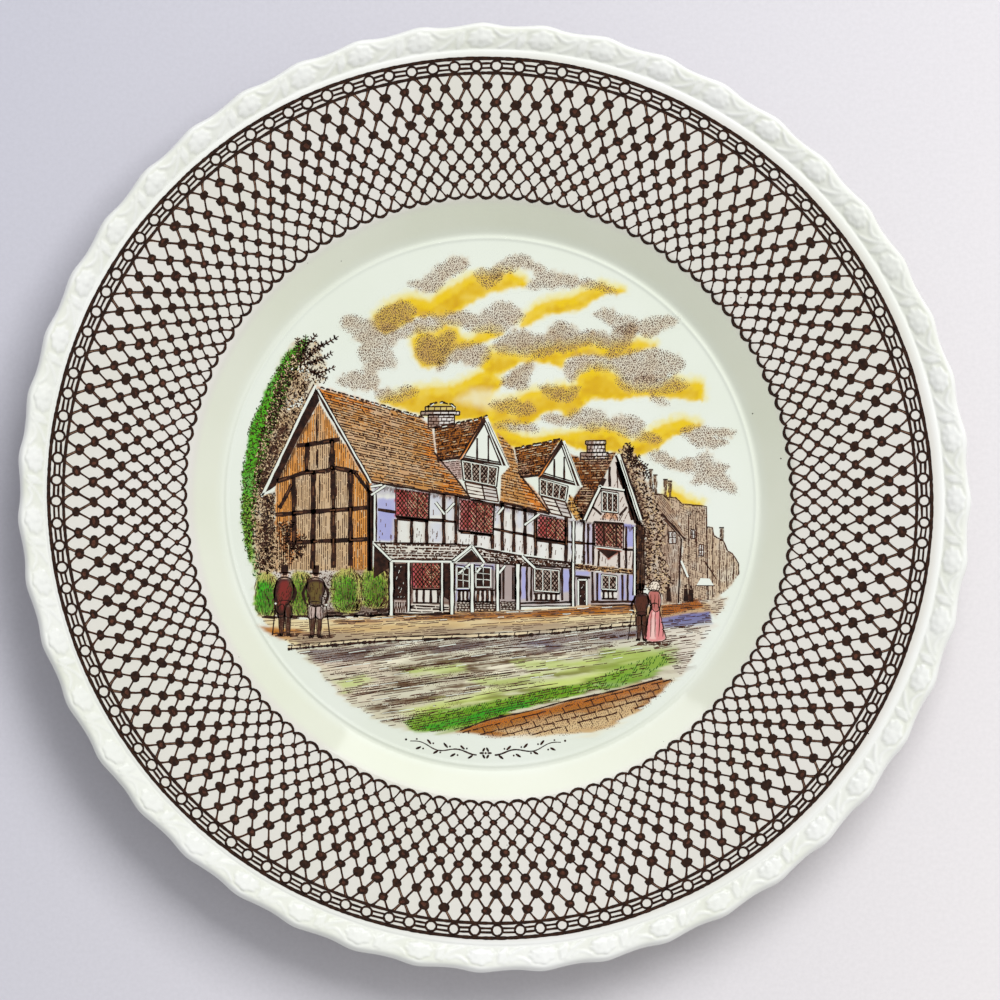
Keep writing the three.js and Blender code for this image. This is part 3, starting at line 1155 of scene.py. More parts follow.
def gable_timbers(drawing):
    rails = [
        [(-51.6, 15.4), (-46, 16.2), (-40.2, 17.2)],
        [(-57.1, 5.8), (-50, 8.1), (-44, 8.7), (-41.8, 9.7), (-35.2, 8.3)],
        [(-57.4, -3.2), (-50, -2.4), (-42, -1.8), (-32.8, -1)],
        [(-54, -10.7), (-46, -10.2), (-38, -9.8), (-32.8, -9.4)],
    ]
    for rail in rails:
        for a, b in zip(rail, rail[1:]):
            beam(drawing, a, b, 1.2)
    posts = [(-49, 15.6, 8.4), (-42.3, 16.6, 9.4), (-52.5, 6.8, -10.4), (-47.3, 8, -19.2),
             (-42, 8.6, -18.8), (-37.4, 8.4, -18.4)]
    for x, top, low in posts:
        beam(drawing, (x, top), (x + random.uniform(-0.2, 0.2), low), 1.3)
    beam(drawing, (-53, 5), (-56.4, -1.5), 1.0)
    joints = [(-49, 8.6), (-42.3, 9.6), (-47.3, -2.2), (-42, -1.8), (-37.4, -1.4), (-52.5, -3),
              (-47.3, -10.2), (-42, -9.9), (-37.4, -9.7), (-47.3, 8.3), (-42, 8.9), (-37.4, 8.6),
              (-49, 15.7), (-42.3, 16.7)]
    for x, y in joints:
        drawing.ink.spot(x, y, 1.5, 1.3, 0.7, 6, 0.3)
    drawing.ink.shape([(-33.4, 6.5), (-32.2, 5), (-31.8, -18), (-32.9, -18), (-33, 4)])


def bargeboards(drawing):
    """The pale boards along the gable end's two slopes, and the shadow under the left one."""
    drawing.ink.shape([(-46.8, 31.4), (-45.7, 27.6), (-51.5, 17), (-57.3, 4.6), (-60.6, 2.2), (-54, 16)])
    wash(BARGE_SHADOW, [(-46, 28.5), (-50.8, 18.6), (-57, 6), (-55.5, 7), (-49, 20)], soft=0.3)
    drawing.lights.line(-46.7, 31.8, -61, 1.6, 0.62, parts=14, sway=0.09, rough=0.3)
    drawing.lights.line(-61.2, 2, -57.6, 3.6, 0.7)
    drawing.lines.line(-47.3, 31.9, -61.6, 1.6, 0.34, parts=12, sway=0.06)
    for share in np.arange(0.05, 1, 0.09):
        x, y = -46.8 - 14 * share, 31 - 28.6 * share
        drawing.ink.line(x, y, x - 0.5, y - 1.1, 0.3, taper=0.5)
    for dx, width, print_ in ((0, 1.25, drawing.ink), (0.15, 0.4, drawing.lights)):
        print_.line(-46.3 + dx, 30.6, -32 + dx, 5.6, width, parts=14, sway=0.07, rough=0.2)
    beam(drawing, (-36.2, 8.4), (-32.2, 3), 1.0)
    wash(ORANGE_BOARD, [(-36.4, 9.5), (-31.6, 6.2), (-31.8, 2.4), (-33.6, 4)], soft=0.3)


def gable_end():
    drawing = Drawing("gable_end")
    drawing.covers.append([(-46.6, 32.2), (-61.6, 1.8), (-57.4, 3), (-57.4, -20), (-31.4, -18), (-31.4, 6)])
    gable_boards(drawing)
    gable_timbers(drawing)
    bargeboards(drawing)


# ---------------------------------------------------------------- the picture: roofs, dormers and chimneys

ROOF, ROOF_BRIGHT, ROOF_BROWN = (198, 142, 86), (216, 126, 38), (160, 96, 50)
ROOF_PALE, ROOF_DARK = (216, 184, 144), (104, 60, 34)
ROOF_EDGE, ROOF_WARM = (212, 160, 88), (176, 104, 54)
DORMER_SHADE, DORMER_EDGE, DORMER_CHEEK = (206, 200, 206), (226, 136, 62), (196, 170, 164)
DORMER_BOARD, DORMER_BOARD_SHADE = (232, 226, 216), (190, 182, 184)
GREY_PANE, CHIMNEY_LIT = (176, 158, 146), (226, 220, 216)
CHIMNEY_SHADE, CHIMNEY_MOSS = (150, 122, 112), (214, 190, 96)


def main_roof(drawing):
    """The long roof on the left, with glowing tiles along its ridge and beside the dormer."""
    outline = [(-46.2, 31.2), (-40, 29.4), (-30, 26.8), (-19, 23.4), (-15.6, 20.6), (-14.8, 14),
               (-13.8, 11.5), (-9, 7), (-5.4, 2), (-15, 3.2), (-25, 5), (-31.7, 6.2)]
    wash(ROOF, outline, soft=0.25, ragged=0.1, blotch=0.2)
    glow = [[(-18, 23), (-15.6, 20.6), (-14.8, 14), (-9, 7), (-5.4, 2), (-14, 3), (-12, 7), (-17.5, 12)],
            [(-46.2, 31.2), (-30, 26.8), (-32, 24.5), (-44, 28)]]
    for part in glow:
        wash(ROOF_BRIGHT, part, soft=0.9, strength=0.8, ragged=0.4)
    wash(ROOF_PALE, [(-41, 21), (-24, 18), (-21, 12), (-26, 8), (-33, 9)], soft=2.5, strength=0.55)
    slope = Panel((-31.8, 6.2), (-5.2, 2), (-15.4, 22.6), (-46.3, 31))
    courses(drawing, slope, outline, 31, 0.3, 2.6, 0.28, 0.55)
    ridge_tiles(drawing, (-45.6, 31.2), (-18.6, 23.6))
    drawing.ink.line(-31.8, 5.9, -5.2, 1.8, 0.6, parts=14, sway=0.1, rough=0.3)


def mid_roof(drawing):
    outline = [(1.6, 20), (6, 15.5), (7, 12), (8, 8.2), (12, 4), (16, -2), (10, -1), (4, 0.2), (2.6, 1),
               (3, 8), (5.2, 10.4), (3.4, 14.5)]
    wash(ROOF, outline, soft=0.25, ragged=0.1, blotch=0.2)
    wash(ROOF_BRIGHT, [(7.5, 9.5), (8.6, 7.5), (12.4, 3.6), (16, -2), (12, -1.3), (9, 3)], soft=0.7)
    courses(drawing, Panel((2, 1), (16.4, -2), (9, 17.5), (-0.5, 20)), outline, 24, 0.25, 2.0, 0.28, 0.5)
    drawing.ink.line(2.4, 0.9, 16, -2.2, 0.6, parts=8, sway=0.08, rough=0.3)
    drawing.ink.line(7.4, 9, 16, -2, 0.4, parts=6, sway=0.05)


def right_roof(drawing):
    outline = [(20.4, 14.5), (24, 13), (33.7, 14.6), (25.4, -3), (24.2, -3.6), (22.2, 2), (24.4, 5.2)]
    wash(ROOF_BROWN, outline, soft=0.25, ragged=0.1, blotch=0.25)
    wash(ROOF_DARK, [(24, 13), (33.4, 14.4), (29, 5.5), (25, -3), (23, 2)], soft=1.2, strength=0.45)
    courses(drawing, Panel((23, -3), (26, -3.2), (34, 14.6), (19, 14)), outline, 26, 0.34, 1.8, 0.6, 0.3)
    edge = [(21.2, 3.4), (25.4, -3.4), (23, -3.9), (20.6, 0)]
    wash(ROOF_EDGE, edge, soft=0.2)
    courses(drawing, Panel((22, -4), (26, -3.4), (22, 3.4), (20, 3)), edge, 7, 0.26, 2.2, 0.3)


def dormer_roof(drawing, apex, left, outline):
    """The little roof that runs back from a dormer's gable."""
    wash(ROOF_BROWN, outline, soft=0.2, ragged=0.08, blotch=0.25)
    wash(ROOF_WARM, [apex, left, outline[-2]], soft=0.8, strength=0.5)
    slope = Panel(outline[-1], outline[-2], outline[2], outline[0])
    courses(drawing, slope, outline, 15, 0.32, 1.8, 0.42, 0.25)
    for a, b in zip(outline[:2], outline[1:3]):
        ridge_tiles(drawing, a, b)
    drawing.ink.line(*outline[-1], *outline[-2], 0.55, rough=0.4)


def dormer_gable(drawing, apex, left, right):
    """A dormer's gable: two studs in pale plaster between its bargeboards."""
    apex, left, right = (np.array(p, float) for p in (apex, left, right))
    drawing.ink.shape([apex, left + (0.9, 0.3), left + (0, -0.4), right + (-1.6, 0.3), right + (0.4, 0.2)])
    inner = [apex + (-0.1, -2.1), left * 0.93 + right * 0.07 + (0.4, 0.6),
             left * 0.17 + right * 0.83 + (0, 0.5)]
    drawing.lights.shape(inner)
    for share, rise in ((0.36, 0.62), (0.68, 0.72)):
        x, y = inner[1] * (1 - share) + inner[2] * share
        drawing.over.line(x, y, x, y + (inner[0][1] - y) * rise, 0.5, rough=0.3)
        wash(DORMER_SHADE, [(x - 1, y), (x, y), (x, y + 3.5), (x - 0.4, y + 3.5)], soft=0.3, strength=0.8)
    drawing.over.line(*(inner[1] + (0.1, 0.3)), *(inner[2] + (0, 0.3)), 0.34, parts=6, sway=0.06, rough=0.4)
    drawing.lights.line(*(apex + (0.5, -0.3)), *(right + (0.1, -0.1)), 0.8, parts=6, sway=0.05, rough=0.25)
    drawing.over.line(*(apex + (0.9, -1.2)), *(right + (0.2, 0.4)), 0.16, parts=6, sway=0.04)
    drawing.lights.line(*(apex + (0.2, -1.5)), *(right + (-1.3, 0.2)), 0.26, parts=6, sway=0.05, rough=0.3)
    wash(DORMER_EDGE, [apex, left + (-0.6, 0), left + (0.4, -0.4), apex + (0, -1)], soft=0.2)
    drawing.over.line(*apex, *(left + (-0.1, 0)), 0.5, parts=5, sway=0.05, rough=0.2)


def dormer_wall(drawing, corners):
    """The boarded wall under a dormer's window."""
    wall = Panel(*corners)
    wash(DORMER_BOARD, wall.outline(), soft=0.2)
    wash(DORMER_BOARD_SHADE, wall.outline(0.6, 0.1, 1, 0.95), soft=0.5, strength=0.7)
    frame_lines(drawing.lines, wall, 0.4)
    for v in (0.25, 0.5, 0.75):
        wall.line(drawing.lines, 0.02, v, 0.98, v + 0.05, 0.3, parts=6, sway=0.08, rough=0.5)
    wall.line(drawing.ink, 0.55, 0, 0.55, 1, 0.4)


def dormer(drawing, apex, left, right, far_roof, window, wall):
    dormer_roof(drawing, apex, left, far_roof)
    dormer_gable(drawing, apex, left, right)
    window_in(drawing, window, bars=3)
    dormer_wall(drawing, wall)


LEAD_PITCH = 0.8        # between the leads of a window


def window_in(drawing, corners, bars, glow=None):
    """A leaded window in a pale frame. glow is the colour painted over it."""
    panel = Panel(*corners)
    wash(glow or GREY_PANE, panel.outline(), soft=0.2, ragged=0.08)
    diamonds(drawing.lines if glow else drawing.ink, panel.outline(), LEAD_PITCH, 0.3)
    if glow is None:
        hatch(drawing.lines, panel.outline(0.02, 0.1, 1, 1), 52, LEAD_PITCH, 0.36, 1.0, 0.6)
    frame_lines(drawing.ink, Panel(*panel.outline(-0.04, -0.05, 1.04, 1.05)), 0.34)
    if glow is None:
        frame_lines(drawing.lights, panel, 0.24, bars)
    else:
        for k in range(bars):
            u = (k + 1) / (bars + 1)
            panel.line(drawing.over, u, 0, u, 1, 0.24)


def ridge_tiles(drawing, a, b):
    """A ridge: dark tiles with bare gaps between them."""
    a, b = np.asarray(a, float), np.asarray(b, float)
    along = (b - a) / np.hypot(*(b - a))
    place = 0.0
    while place < np.hypot(*(b - a)):
        run = random.uniform(0.7, 1.7)
        p = a + along * place + random.uniform(-0.1, 0.1, 2)
        drawing.ink.line(*p, *(p + along * run), 0.55, parts=3, sway=0.08, rough=0.4, taper=0.3)
        if random.random() < 0.5:
            drawing.lights.line(*(p + (0.2, -0.3)), *(p + along * run + (0, -0.3)), 0.22)
        place += run + random.uniform(0.1, 0.5)


def slab(drawing, x0, x1, foot, top, shade=0.4):
    """One course of a chimney: pale brick, browner on its shaded left, with uneven dark joints."""
    body = Panel((x0, foot), (x1, foot + 0.15), (x1, top + 0.15), (x0, top))
    wash(CHIMNEY_LIT, body.outline(), soft=0.15)
    wash(CHIMNEY_SHADE, body.outline(0, 0, shade, 1), soft=0.3, strength=0.85)
    frame_lines(drawing.ink, body, 0.36)
    rows = max(1, round((top - foot) / 0.8))
    for k in range(rows):
        body.line(drawing.lines, 0, k / rows, 1, k / rows, 0.28, parts=5, sway=0.1, rough=0.5)
        for u in np.arange(0.1 + 0.09 * (k % 2), 1, 0.2):
            body.line(drawing.lines, u, k / rows, u + 0.02, (k + 0.9) / rows, 0.24)


def chimneys(drawing):
    slab(drawing, -16.6, -9.6, 20.6, 24.2)
    slab(drawing, -18.6, -8.2, 24.0, 25.0, 0.3)
    slab(drawing, -17.4, -9.4, 25.2, 26.3, 0.5)
    crest = [(-17, 26.2), (-15.4, 27.2), (-13, 27.6), (-10.6, 27.1), (-9.2, 26.2)]
    wash(CHIMNEY_MOSS, [(-17.6, 25.2), *crest, (-9, 25.2)], soft=0.2, strength=0.8)
    for a, b in zip(crest, crest[1:]):
        ridge_tiles(drawing, a, b)
    slab(drawing, 24.2, 31.6, 12.6, 14.4, 0.5)
    slab(drawing, 26.0, 30.8, 14.4, 16.4, 0.3)
    slab(drawing, 25.6, 31.0, 16.6, 17.6, 0.4)


ROOFS_COVER = [
    (-46.2, 31.4), (-18.8, 24), (-19.6, 26.6), (-16, 28.4), (-9.4, 28.2), (-7.4, 25), (-8, 22.6),
    (-1.5, 24.2), (2, 20.4), (6, 16.4), (19.2, 18.4), (22, 14), (24.4, 14), (25, 18.2), (31, 18.2),
    (32.4, 15), (34.4, 15.6), (25.2, -3.4), (22, -4), (13, -2), (2, 0.4), (-6, 1.8), (-31.6, 5.4),
]


def roofs():
    drawing = Drawing("roofs")
    drawing.covers.append(ROOFS_COVER)
    main_roof(drawing)
    mid_roof(drawing)
    right_roof(drawing)
    chimneys(drawing)
    drawing.ink.line(-15, 14, -9.2, 7.2, 0.4, parts=6, sway=0.05)
    drawing.ink.line(-9.2, 7.2, -5.4, 2, 0.4, parts=4, sway=0.05)
    cheek = [(-13.6, 11.4), (-8, 12.2), (-7.6, 6.8), (-9, 7)]
    wash(DORMER_CHEEK, cheek, soft=0.2)
    hatch(drawing.lines, cheek, -4, 0.5, 0.22, 1.2, 0.8)
    dormer(
        drawing, (-1.5, 23.6), (-8.2, 12.4), (4.7, 10.4),
        [(-15, 20.8), (-9, 22), (-1.5, 23.8), (-8.2, 12.6), (-14.2, 11.8)],
        [(-6.9, 6.8), (1.4, 5.2), (1.9, 10.1), (-7.4, 11.8)],
        [(-5.8, 2.1), (2.2, 0.9), (1.6, 4.6), (-6.8, 6.2)],
    )
    dormer(
        drawing, (19.2, 17.8), (13, 8.1), (24.4, 5.2),
        [(6.6, 15.4), (12, 16.6), (18.8, 18.1), (13, 8.2), (8, 7.6)],
        [(13.4, 3.1), (20, 1.5), (20.6, 5.2), (13.4, 7.2)],
        [(16.2, -2), (21.8, -3.2), (20.2, 1), (13.6, 2.6)],
    )


# ---------------------------------------------------------------- the picture: the long front

LAVENDER, LILAC = (170, 172, 222), (196, 190, 214)
BLUE_SHADE, COOL_SHADE = (150, 150, 204), (204, 208, 224)
PLASTER, GABLE_PLASTER = (230, 230, 226), (220, 210, 202)
EAVES_SHADE, POST_SHADE = (176, 172, 186), (214, 212, 218)
TIMBER_STAIN, WHITE_BOARD, STONE = (212, 202, 192), (228, 224, 216), (200, 190, 178)
CRIMSON_PANE, ROSE_FRAME = (178, 70, 78), (196, 82, 96)
ROSE_SILL, PANE_BROWN = (206, 116, 124), (150, 92, 78)
PANE_EDGE, PORCH_PANE = (206, 120, 128), (168, 72, 76)
PORCH_FRAME, ORIEL_PANE = (192, 74, 92), (150, 84, 84)
PALE_TILE, TAN_TILE = (222, 216, 206), (196, 150, 100)
ORIEL_FOOT, ORANGE_LIGHT = (150, 66, 52), (226, 150, 90)
PORCH_SHADE, GATE_GREY = (120, 92, 86), (196, 180, 172)
BENCH_WHITE, BAY_SHADE = (228, 220, 208), (172, 158, 156)
SHOP_SHADE = (190, 180, 180)


def eave(x):
    """Height of the eaves along the front."""
    return float(np.interp(x, [-31.5, -5, 2, 16, 25, 40], [5.6, 2.0, 0.9, -2.2, -3.8, -5.2]))


def pent(x):
    """Height of the foot of the upper storey."""
    return float(np.interp(x, [-31, -4.5, 9, 22, 39], [-10.2, -10.9, -13.0, -15.2, -16.8]))


def brace(drawing, a, b, width=0.9):
    """A pale bracket with dark edges."""
    drawing.ink.line(*a, *b, width, rough=0.1)
    drawing.lights.line(*a, *b, width * 0.55, rough=0.1)


def pale_post(drawing, x, top, foot, width):
    """A white post with a dark edge on each side."""
    drawing.ink.line(x, top, x, foot, width * 0.75 + 0.6, parts=8, sway=0.06, rough=0.2)
    drawing.lights.line(x, top, x, foot, width * 0.5, parts=8, sway=0.05, rough=0.2)
    wash(POST_SHADE, upright_box(x - 0.2, x + width * 0.4, top, foot), soft=0.2)


def shaded_wall(x0, x1, top, foot, colour, strength):
    wash(colour, upright_box(x0, x1, top, foot), soft=0.45, strength=strength, ragged=0.15)


def upper_timbers(drawing):
    """The posts, rails and pale brackets of the upper storey."""
    below_windows = [(-25.2, -4), (-21, -4), (-17, -4), (-4, -8), (0.6, -8), (16, -10)]
    full_height = [(x, eave(x)) for x in (-12.4, -9.1, 3.2, 6.3, 9.3, 12.1, 20.4)]
    for x, top in sorted(below_windows + full_height):
        foot = pent(x)
        wash(TIMBER_STAIN, upright_box(x - 0.9, x + 0.9, top, foot), soft=0.5, strength=0.7, ragged=0.3)
        beam(drawing, (x, top), (x + random.uniform(-0.1, 0.1), foot), 0.95)
    rails = [(-30, -1.4, -25.4, -2.2), (-16.5, -4, -9.2, -4.6), (0.8, -6.4, 12.4, -8.4),
             (20, -9.5, 25, -10), (-25, -3.9, -16.6, -4.5), (-8, -7.3, 0.8, -8.2),
             (12.4, -9.2, 20.2, -10.2)]
    for rail in rails:
        beam(drawing, rail[:2], rail[2:], 0.8)
    brackets = [(-32, 4.6, -27.4, 5.4), (-31.8, 2.4, -28, 5), (-11.8, -2, -9.6, 0.4), (2, -2.4, 4.4, 0.4),
                (9.2, -5.2, 13.2, -2.2), (-12.2, -2.6, -14.6, 0.6)]
    for bracket in brackets:
        brace(drawing, bracket[:2], bracket[2:])


def upper_wall(drawing):
    wall = [(-31.6, 5.4), (-5, 2), (16, -2.2), (25, -4), (39.4, -5), (39.4, -16.6), (22, -15), (9, -13),
            (-4.5, -11), (-31, -10.2)]
    wash(PLASTER, wall, soft=0.15)
    wash(EAVES_SHADE, [(-31.4, 5.3), (-5, 1.8), (16, -2.4), (25, -4), (25, -5.2), (16, -4), (-5, 0),
                       (-31.4, 3)], soft=0.9, strength=0.8, ragged=0.4)
    shaded_wall(-30.2, -25.3, 1.5, -9.8, LAVENDER, 0.95)
    shades = [(-16, -12.8, 2, -3), (-12, -9, 1, -4), (1.5, 3, 0, -5), (6.6, 9, -1.5, -6),
              (9.6, 12, -2.6, -7), (-16.5, -12.6, -5, -10), (20.8, 22, -5, -13)]
    for box in shades:
        shaded_wall(*box, COOL_SHADE, 0.7)
    upper_timbers(drawing)
    for x in np.arange(-31, 39, 0.36):
        drawing.lines.line(x, eave(x) - 0.2, x - 0.1, eave(x) - random.uniform(0.7, 2.0), 0.2, taper=0.6)
    low = [(x, pent(x)) for x in (-31, -5, 9, 22, 39)]
    hatch(drawing.stipple, [*[(x, y + 3.4) for x, y in low], *low[::-1]], 84, 0.8, 0.18, 0.9, 0.35)
    hatch(drawing.stipple, wall, 88, 1.4, 0.18, 1.1, 0.16)
    drawing.ink.line(-31.6, 5.5, -5, 1.9, 0.8, parts=12, sway=0.08)
    drawing.ink.line(-5, 1.4, 16, -2.6, 0.7, parts=10, sway=0.08)
    drawing.ink.line(16, -2.6, 25.4, -4.2, 0.8, parts=6, sway=0.08)
    pale_post(drawing, -30.9, 2.6, -10, 0.9)
    drawing.ink.shape([(-32.6, 4), (-31.4, 3.4), (-31.4, -18), (-32.6, -18)])


def upper_windows(drawing):
    """The three glowing windows of the upper storey."""
    windows = [
        ([(-24.9, -3), (-16.7, -3.8), (-16.6, 3), (-24.9, 4.1)], 2),
        ([(-8.2, -6.6), (0.5, -7.6), (0.8, 0.2), (-8, 1.5)], 3),
        ([(12.6, -8.4), (19.9, -9.4), (20, -3.8), (12.9, -2.6)], 2),
    ]
    for corners, bars in windows:
        window_in(drawing, corners, bars, glow=CRIMSON_PANE)
        panel = Panel(*corners)
        glints(drawing, panel)
        panel.line(drawing.ink, -0.03, -0.05, 1.03, -0.05, 0.7)
        panel.line(drawing.ink, 1.03, 0, 1.03, 1, 0.5)
    wash(ROSE_FRAME, [(-25.4, -3.2), (-24.3, -3.2), (-24.3, 4), (-25.4, 4.2)], soft=0.2)
    wash(ROSE_SILL, [(-25.2, -3), (-16.6, -3.7), (-16.6, -4.2), (-25.2, -3.5)], soft=0.2)


def glints(drawing, panel):
    """Pale diamonds in the leads of a window."""
    wash(PANE_BROWN, panel.outline(0.45, 0.05, 0.95, 0.95), soft=0.6, strength=0.5)
    hatch(drawing.pale, panel.outline(0.3, 0.05, 0.98, 0.95), -52, 0.74, 0.13, 1.0, 0.55)
    wash(PANE_EDGE, panel.outline(0, 0, 0.07, 1), soft=0.1, strength=0.8)
    hatch(drawing.ink, panel.outline(0.1, 0.1, 0.9, 0.9), 52, 1.5, 0.3, 0.9, 0.2)


def pent_roof(drawing, outline, panel, rows):
    """The pale tiles of a pent roof, with dark dashes between them."""
    wash(PALE_TILE, outline, soft=0.2, ragged=0.1)
    hatch(drawing.stipple, outline, -3, 0.5, 0.2, 1.2, 0.2)
    courses(drawing, panel, outline, rows, 0.42, 1.2, 0.2, 0.0)
    for a, b in zip(outline, outline[1:] + outline[:1]):
        drawing.ink.line(*a, *b, 0.5, parts=8, sway=0.07, rough=0.3)


def pent_roofs(drawing):
    first = [(-31, -10.4), (-9, -10.6), (-4.6, -10.9), (-10.4, -15), (-26.4, -14.9)]
    pent_roof(drawing, first, Panel((-29, -14.9), (-9, -15), (-4.6, -10.9), (-33, -10.4)), 6)
    drawing.ink.shape([(-31, -10.8), (-26.8, -15), (-26.8, -17), (-31.2, -20)])
    brace(drawing, (-31.1, -10.6), (-26.4, -15.2))
    drawing.lights.line(-26.6, -15.3, -9.6, -15.3, 0.55, parts=8, sway=0.04)
    second = [(-4.2, -11.4), (8.4, -13.6), (12, -16.4), (-1, -15.4)]
    pent_roof(drawing, second, Panel((-1, -15.4), (12, -16.4), (8.4, -13.6), (-4.2, -11.4)), 5)
    third = [(9, -13.8), (22, -15.3), (21.6, -16.6), (12, -16.2)]
    pent_roof(drawing, third, Panel((9, -16), (22, -16.8), (22, -15.3), (8, -13.8)), 3)
    fourth = [(22.6, -15.4), (39, -17), (38.6, -18.2), (22.6, -17)]
    wash(TAN_TILE, fourth, soft=0.15)
    courses(drawing, Panel((22.6, -17), (39, -18.4), (39, -17), (22.6, -15.4)), fourth, 3, 0.4, 1.6, 0.4)
    for bracket in ((-4.9, -10.9, -10.2, -15.4), (-4.9, -10.9, -1.6, -15.4), (8.6, -13.6, 12, -16.8)):
        brace(drawing, bracket[:2], bracket[2:], 1.0)
    drawing.ink.shape([(-5, -12), (-9, -15.4), (-2.2, -15.4)])


def plain_door(drawing, x0, x1, top, foot):
    """A dark doorway with a pale frame."""
    doorway = Panel(*upright_box(x0, x1, top, foot))
    drawing.ink.shape(doorway.outline())
    panel = Panel(*doorway.outline(0.12, 0, 0.88, 0.92))
    for u in (0, 1):
        panel.line(drawing.lights, u, 0, u, 1, 0.4)
    panel.line(drawing.lights, 0, 1, 1, 1, 0.4)
    hatch(drawing.lights, panel.outline(0.2, 0.1, 0.8, 0.9), 60, 0.8, 0.1, 0.5, 0.25)


def boards_below(drawing, x0, x1, top, foot, pitch):
    """White boards under a window, with dark gaps."""
    wash(WHITE_BOARD, upright_box(x0, x1, top, foot), soft=0.15)
    for x in np.arange(x0 + pitch * 0.5, x1, pitch):
        beam(drawing, (x, top), (x, foot), 0.6 * random.uniform(0.8, 1.4))
    drawing.ink.line(x0, top, x1, top, 0.45, rough=0.3)
    drawing.ink.line(x0, foot, x1, foot, 0.45, rough=0.3)


def brickwork(drawing, x0, x1, top, foot):
    """A low plinth of rough stone."""
    wash(STONE, upright_box(x0, x1, top, foot), soft=0.15)
    course = (top - foot) / 4
    for y in np.arange(foot, top + 0.1, course):
        drawing.ink.line(x0, y, x1, y, 0.3, parts=8, sway=0.1, rough=0.5)
    for y in np.arange(foot, top - 0.1, course):
        for x in np.arange(x0 + random.uniform(0, 0.6), x1, 0.9):
            drawing.lines.line(x, y, x, y + course, 0.3)


def porch(drawing):
    """The porch on the left: a door, a window, a gate and a bench behind four posts."""
    wash(PORCH_SHADE, [(-31, -14), (-10, -15.4), (-10, -28.4), (-26.4, -29.2), (-31, -19)], soft=0.3)
    drawing.ink.shape(upright_box(-25.8, -22.4, -16, -25.6))
    gleam = [(-25.4, -16.6), (-22.8, -16.6), (-22.8, -25), (-25.4, -25)]
    hatch(drawing.lights, gleam, 70, 0.7, 0.12, 0.6, 0.25)
    window = [(-20.4, -22.4), (-13.2, -22.4), (-13.2, -15.8), (-20.6, -15.8)]
    window_in(drawing, window, 2, glow=PORCH_PANE)
    glints(drawing, Panel(*window))
    wash(PORCH_FRAME, [(-21.4, -17.5), (-20.2, -16), (-20.2, -22.2), (-21, -21)], soft=0.25)
    boards_below(drawing, -20.6, -13, -22.8, -26.4, 1.9)
    drawing.ink.shape([(-12.4, -15.8), (-11, -15.8), (-11, -25.6), (-12.6, -24.6)])
    wash(GATE_GREY, [(-26, -26), (-22, -26), (-22, -29), (-26, -29)], soft=0.2)
    diamonds(drawing.lines, [(-25.6, -26.2), (-22.2, -26.2), (-22.2, -29), (-25.6, -29)], 0.6, 0.22, 80)
    bench = [(-21.6, -26.6), (-11.2, -26.8), (-10.8, -29.2), (-21.6, -29)]
    wash(BENCH_WHITE, bench, soft=0.15)
    hatch(drawing.ink, bench, -2, 0.8, 0.35, 3.5, 0.85, 0.1)
    drawing.ink.line(-26.5, -29.6, -10, -29.2, 0.6, parts=10, sway=0.12, rough=0.4)
    posts = [(-26.4, -29.9, 1.5), (-21.8, -28.6, 1.0), (-12.9, -28.6, 0.9), (-10.2, -29.4, 1.5)]
    for x, foot, width in posts:
        pale_post(drawing, x, -15.6, foot, width)


def bay_window(drawing, corners):
    """A tall dark window with pale bars and a pale frame."""
    panel = Panel(*corners)
    drawing.ink.shape(panel.outline())
    for u, v, s, t in ((0.5, 0.05, 0.5, 0.95), (0.05, 0.4, 0.95, 0.36), (0.05, 0.7, 0.95, 0.66)):
        panel.line(drawing.lights, u, v, s, t, 0.16, parts=4, sway=0.06, rough=0.6)
    hatch(drawing.pale, panel.outline(0.1, 0.1, 0.9, 0.9), 66, 0.8, 0.14, 0.7, 0.4)
    frame_lines(drawing.lights, panel, 0.24)
    frame_lines(drawing.ink, Panel(*panel.outline(-0.16, -0.08, 1.16, 1.08)), 0.3)


def bay(drawing):
    """The bay beside the porch, with bluish light on its wall."""
    wash(BAY_SHADE, [(-9.4, -15.4), (8.4, -15.8), (8.4, -27.8), (-9.4, -28.6)], soft=0.2)
    wash(LAVENDER, [(-9, -16), (1, -16), (1, -17.2), (-5.4, -17.4), (-5.6, -26), (-9, -26)], soft=0.4)
    bay_window(drawing, [(-8.9, -22.4), (-5.6, -22.4), (-5.6, -17), (-8.9, -16.6)])
    bay_window(drawing, [(-3.8, -22), (0.1, -22), (0.1, -16.8), (-3.8, -16.6)])
    wash(LAVENDER, [(-9, -23), (-5.4, -23), (-5.4, -25.6), (-9, -25.8)], soft=0.3, strength=0.8)
    boards_below(drawing, -8.8, -5.6, -23, -25.8, 1.1)
    boards_below(drawing, -3.9, 1.2, -22.8, -26, 1.25)
    window = Panel(*upright_box(3.4, 6.2, -16.6, -24.8))
    for u, width in ((-0.3, 0.8), (0.05, 0.6), (0.95, 0.5), (1.2, 0.8)):
        window.line(drawing.ink, u, -0.05, u, 1, width)
    for x0, x1, foot in ((-8.9, -5.4, -28.5), (-4, 1.4, -28.4), (2.8, 6.8, -28)):
        brickwork(drawing, x0, x1, -25.9, foot)
    for x, foot, width in ((-4.8, -28.8, 1.4), (2.0, -28.4, 1.2), (7.4, -28, 1.5)):
        pale_post(drawing, x, -15.8, foot, width)
    brace(drawing, (-8.6, -18.6), (-5.4, -15.8))
    brace(drawing, (-3.8, -18.4), (-1.8, -15.8))
    brace(drawing, (2.4, -18.2), (4, -16.2))


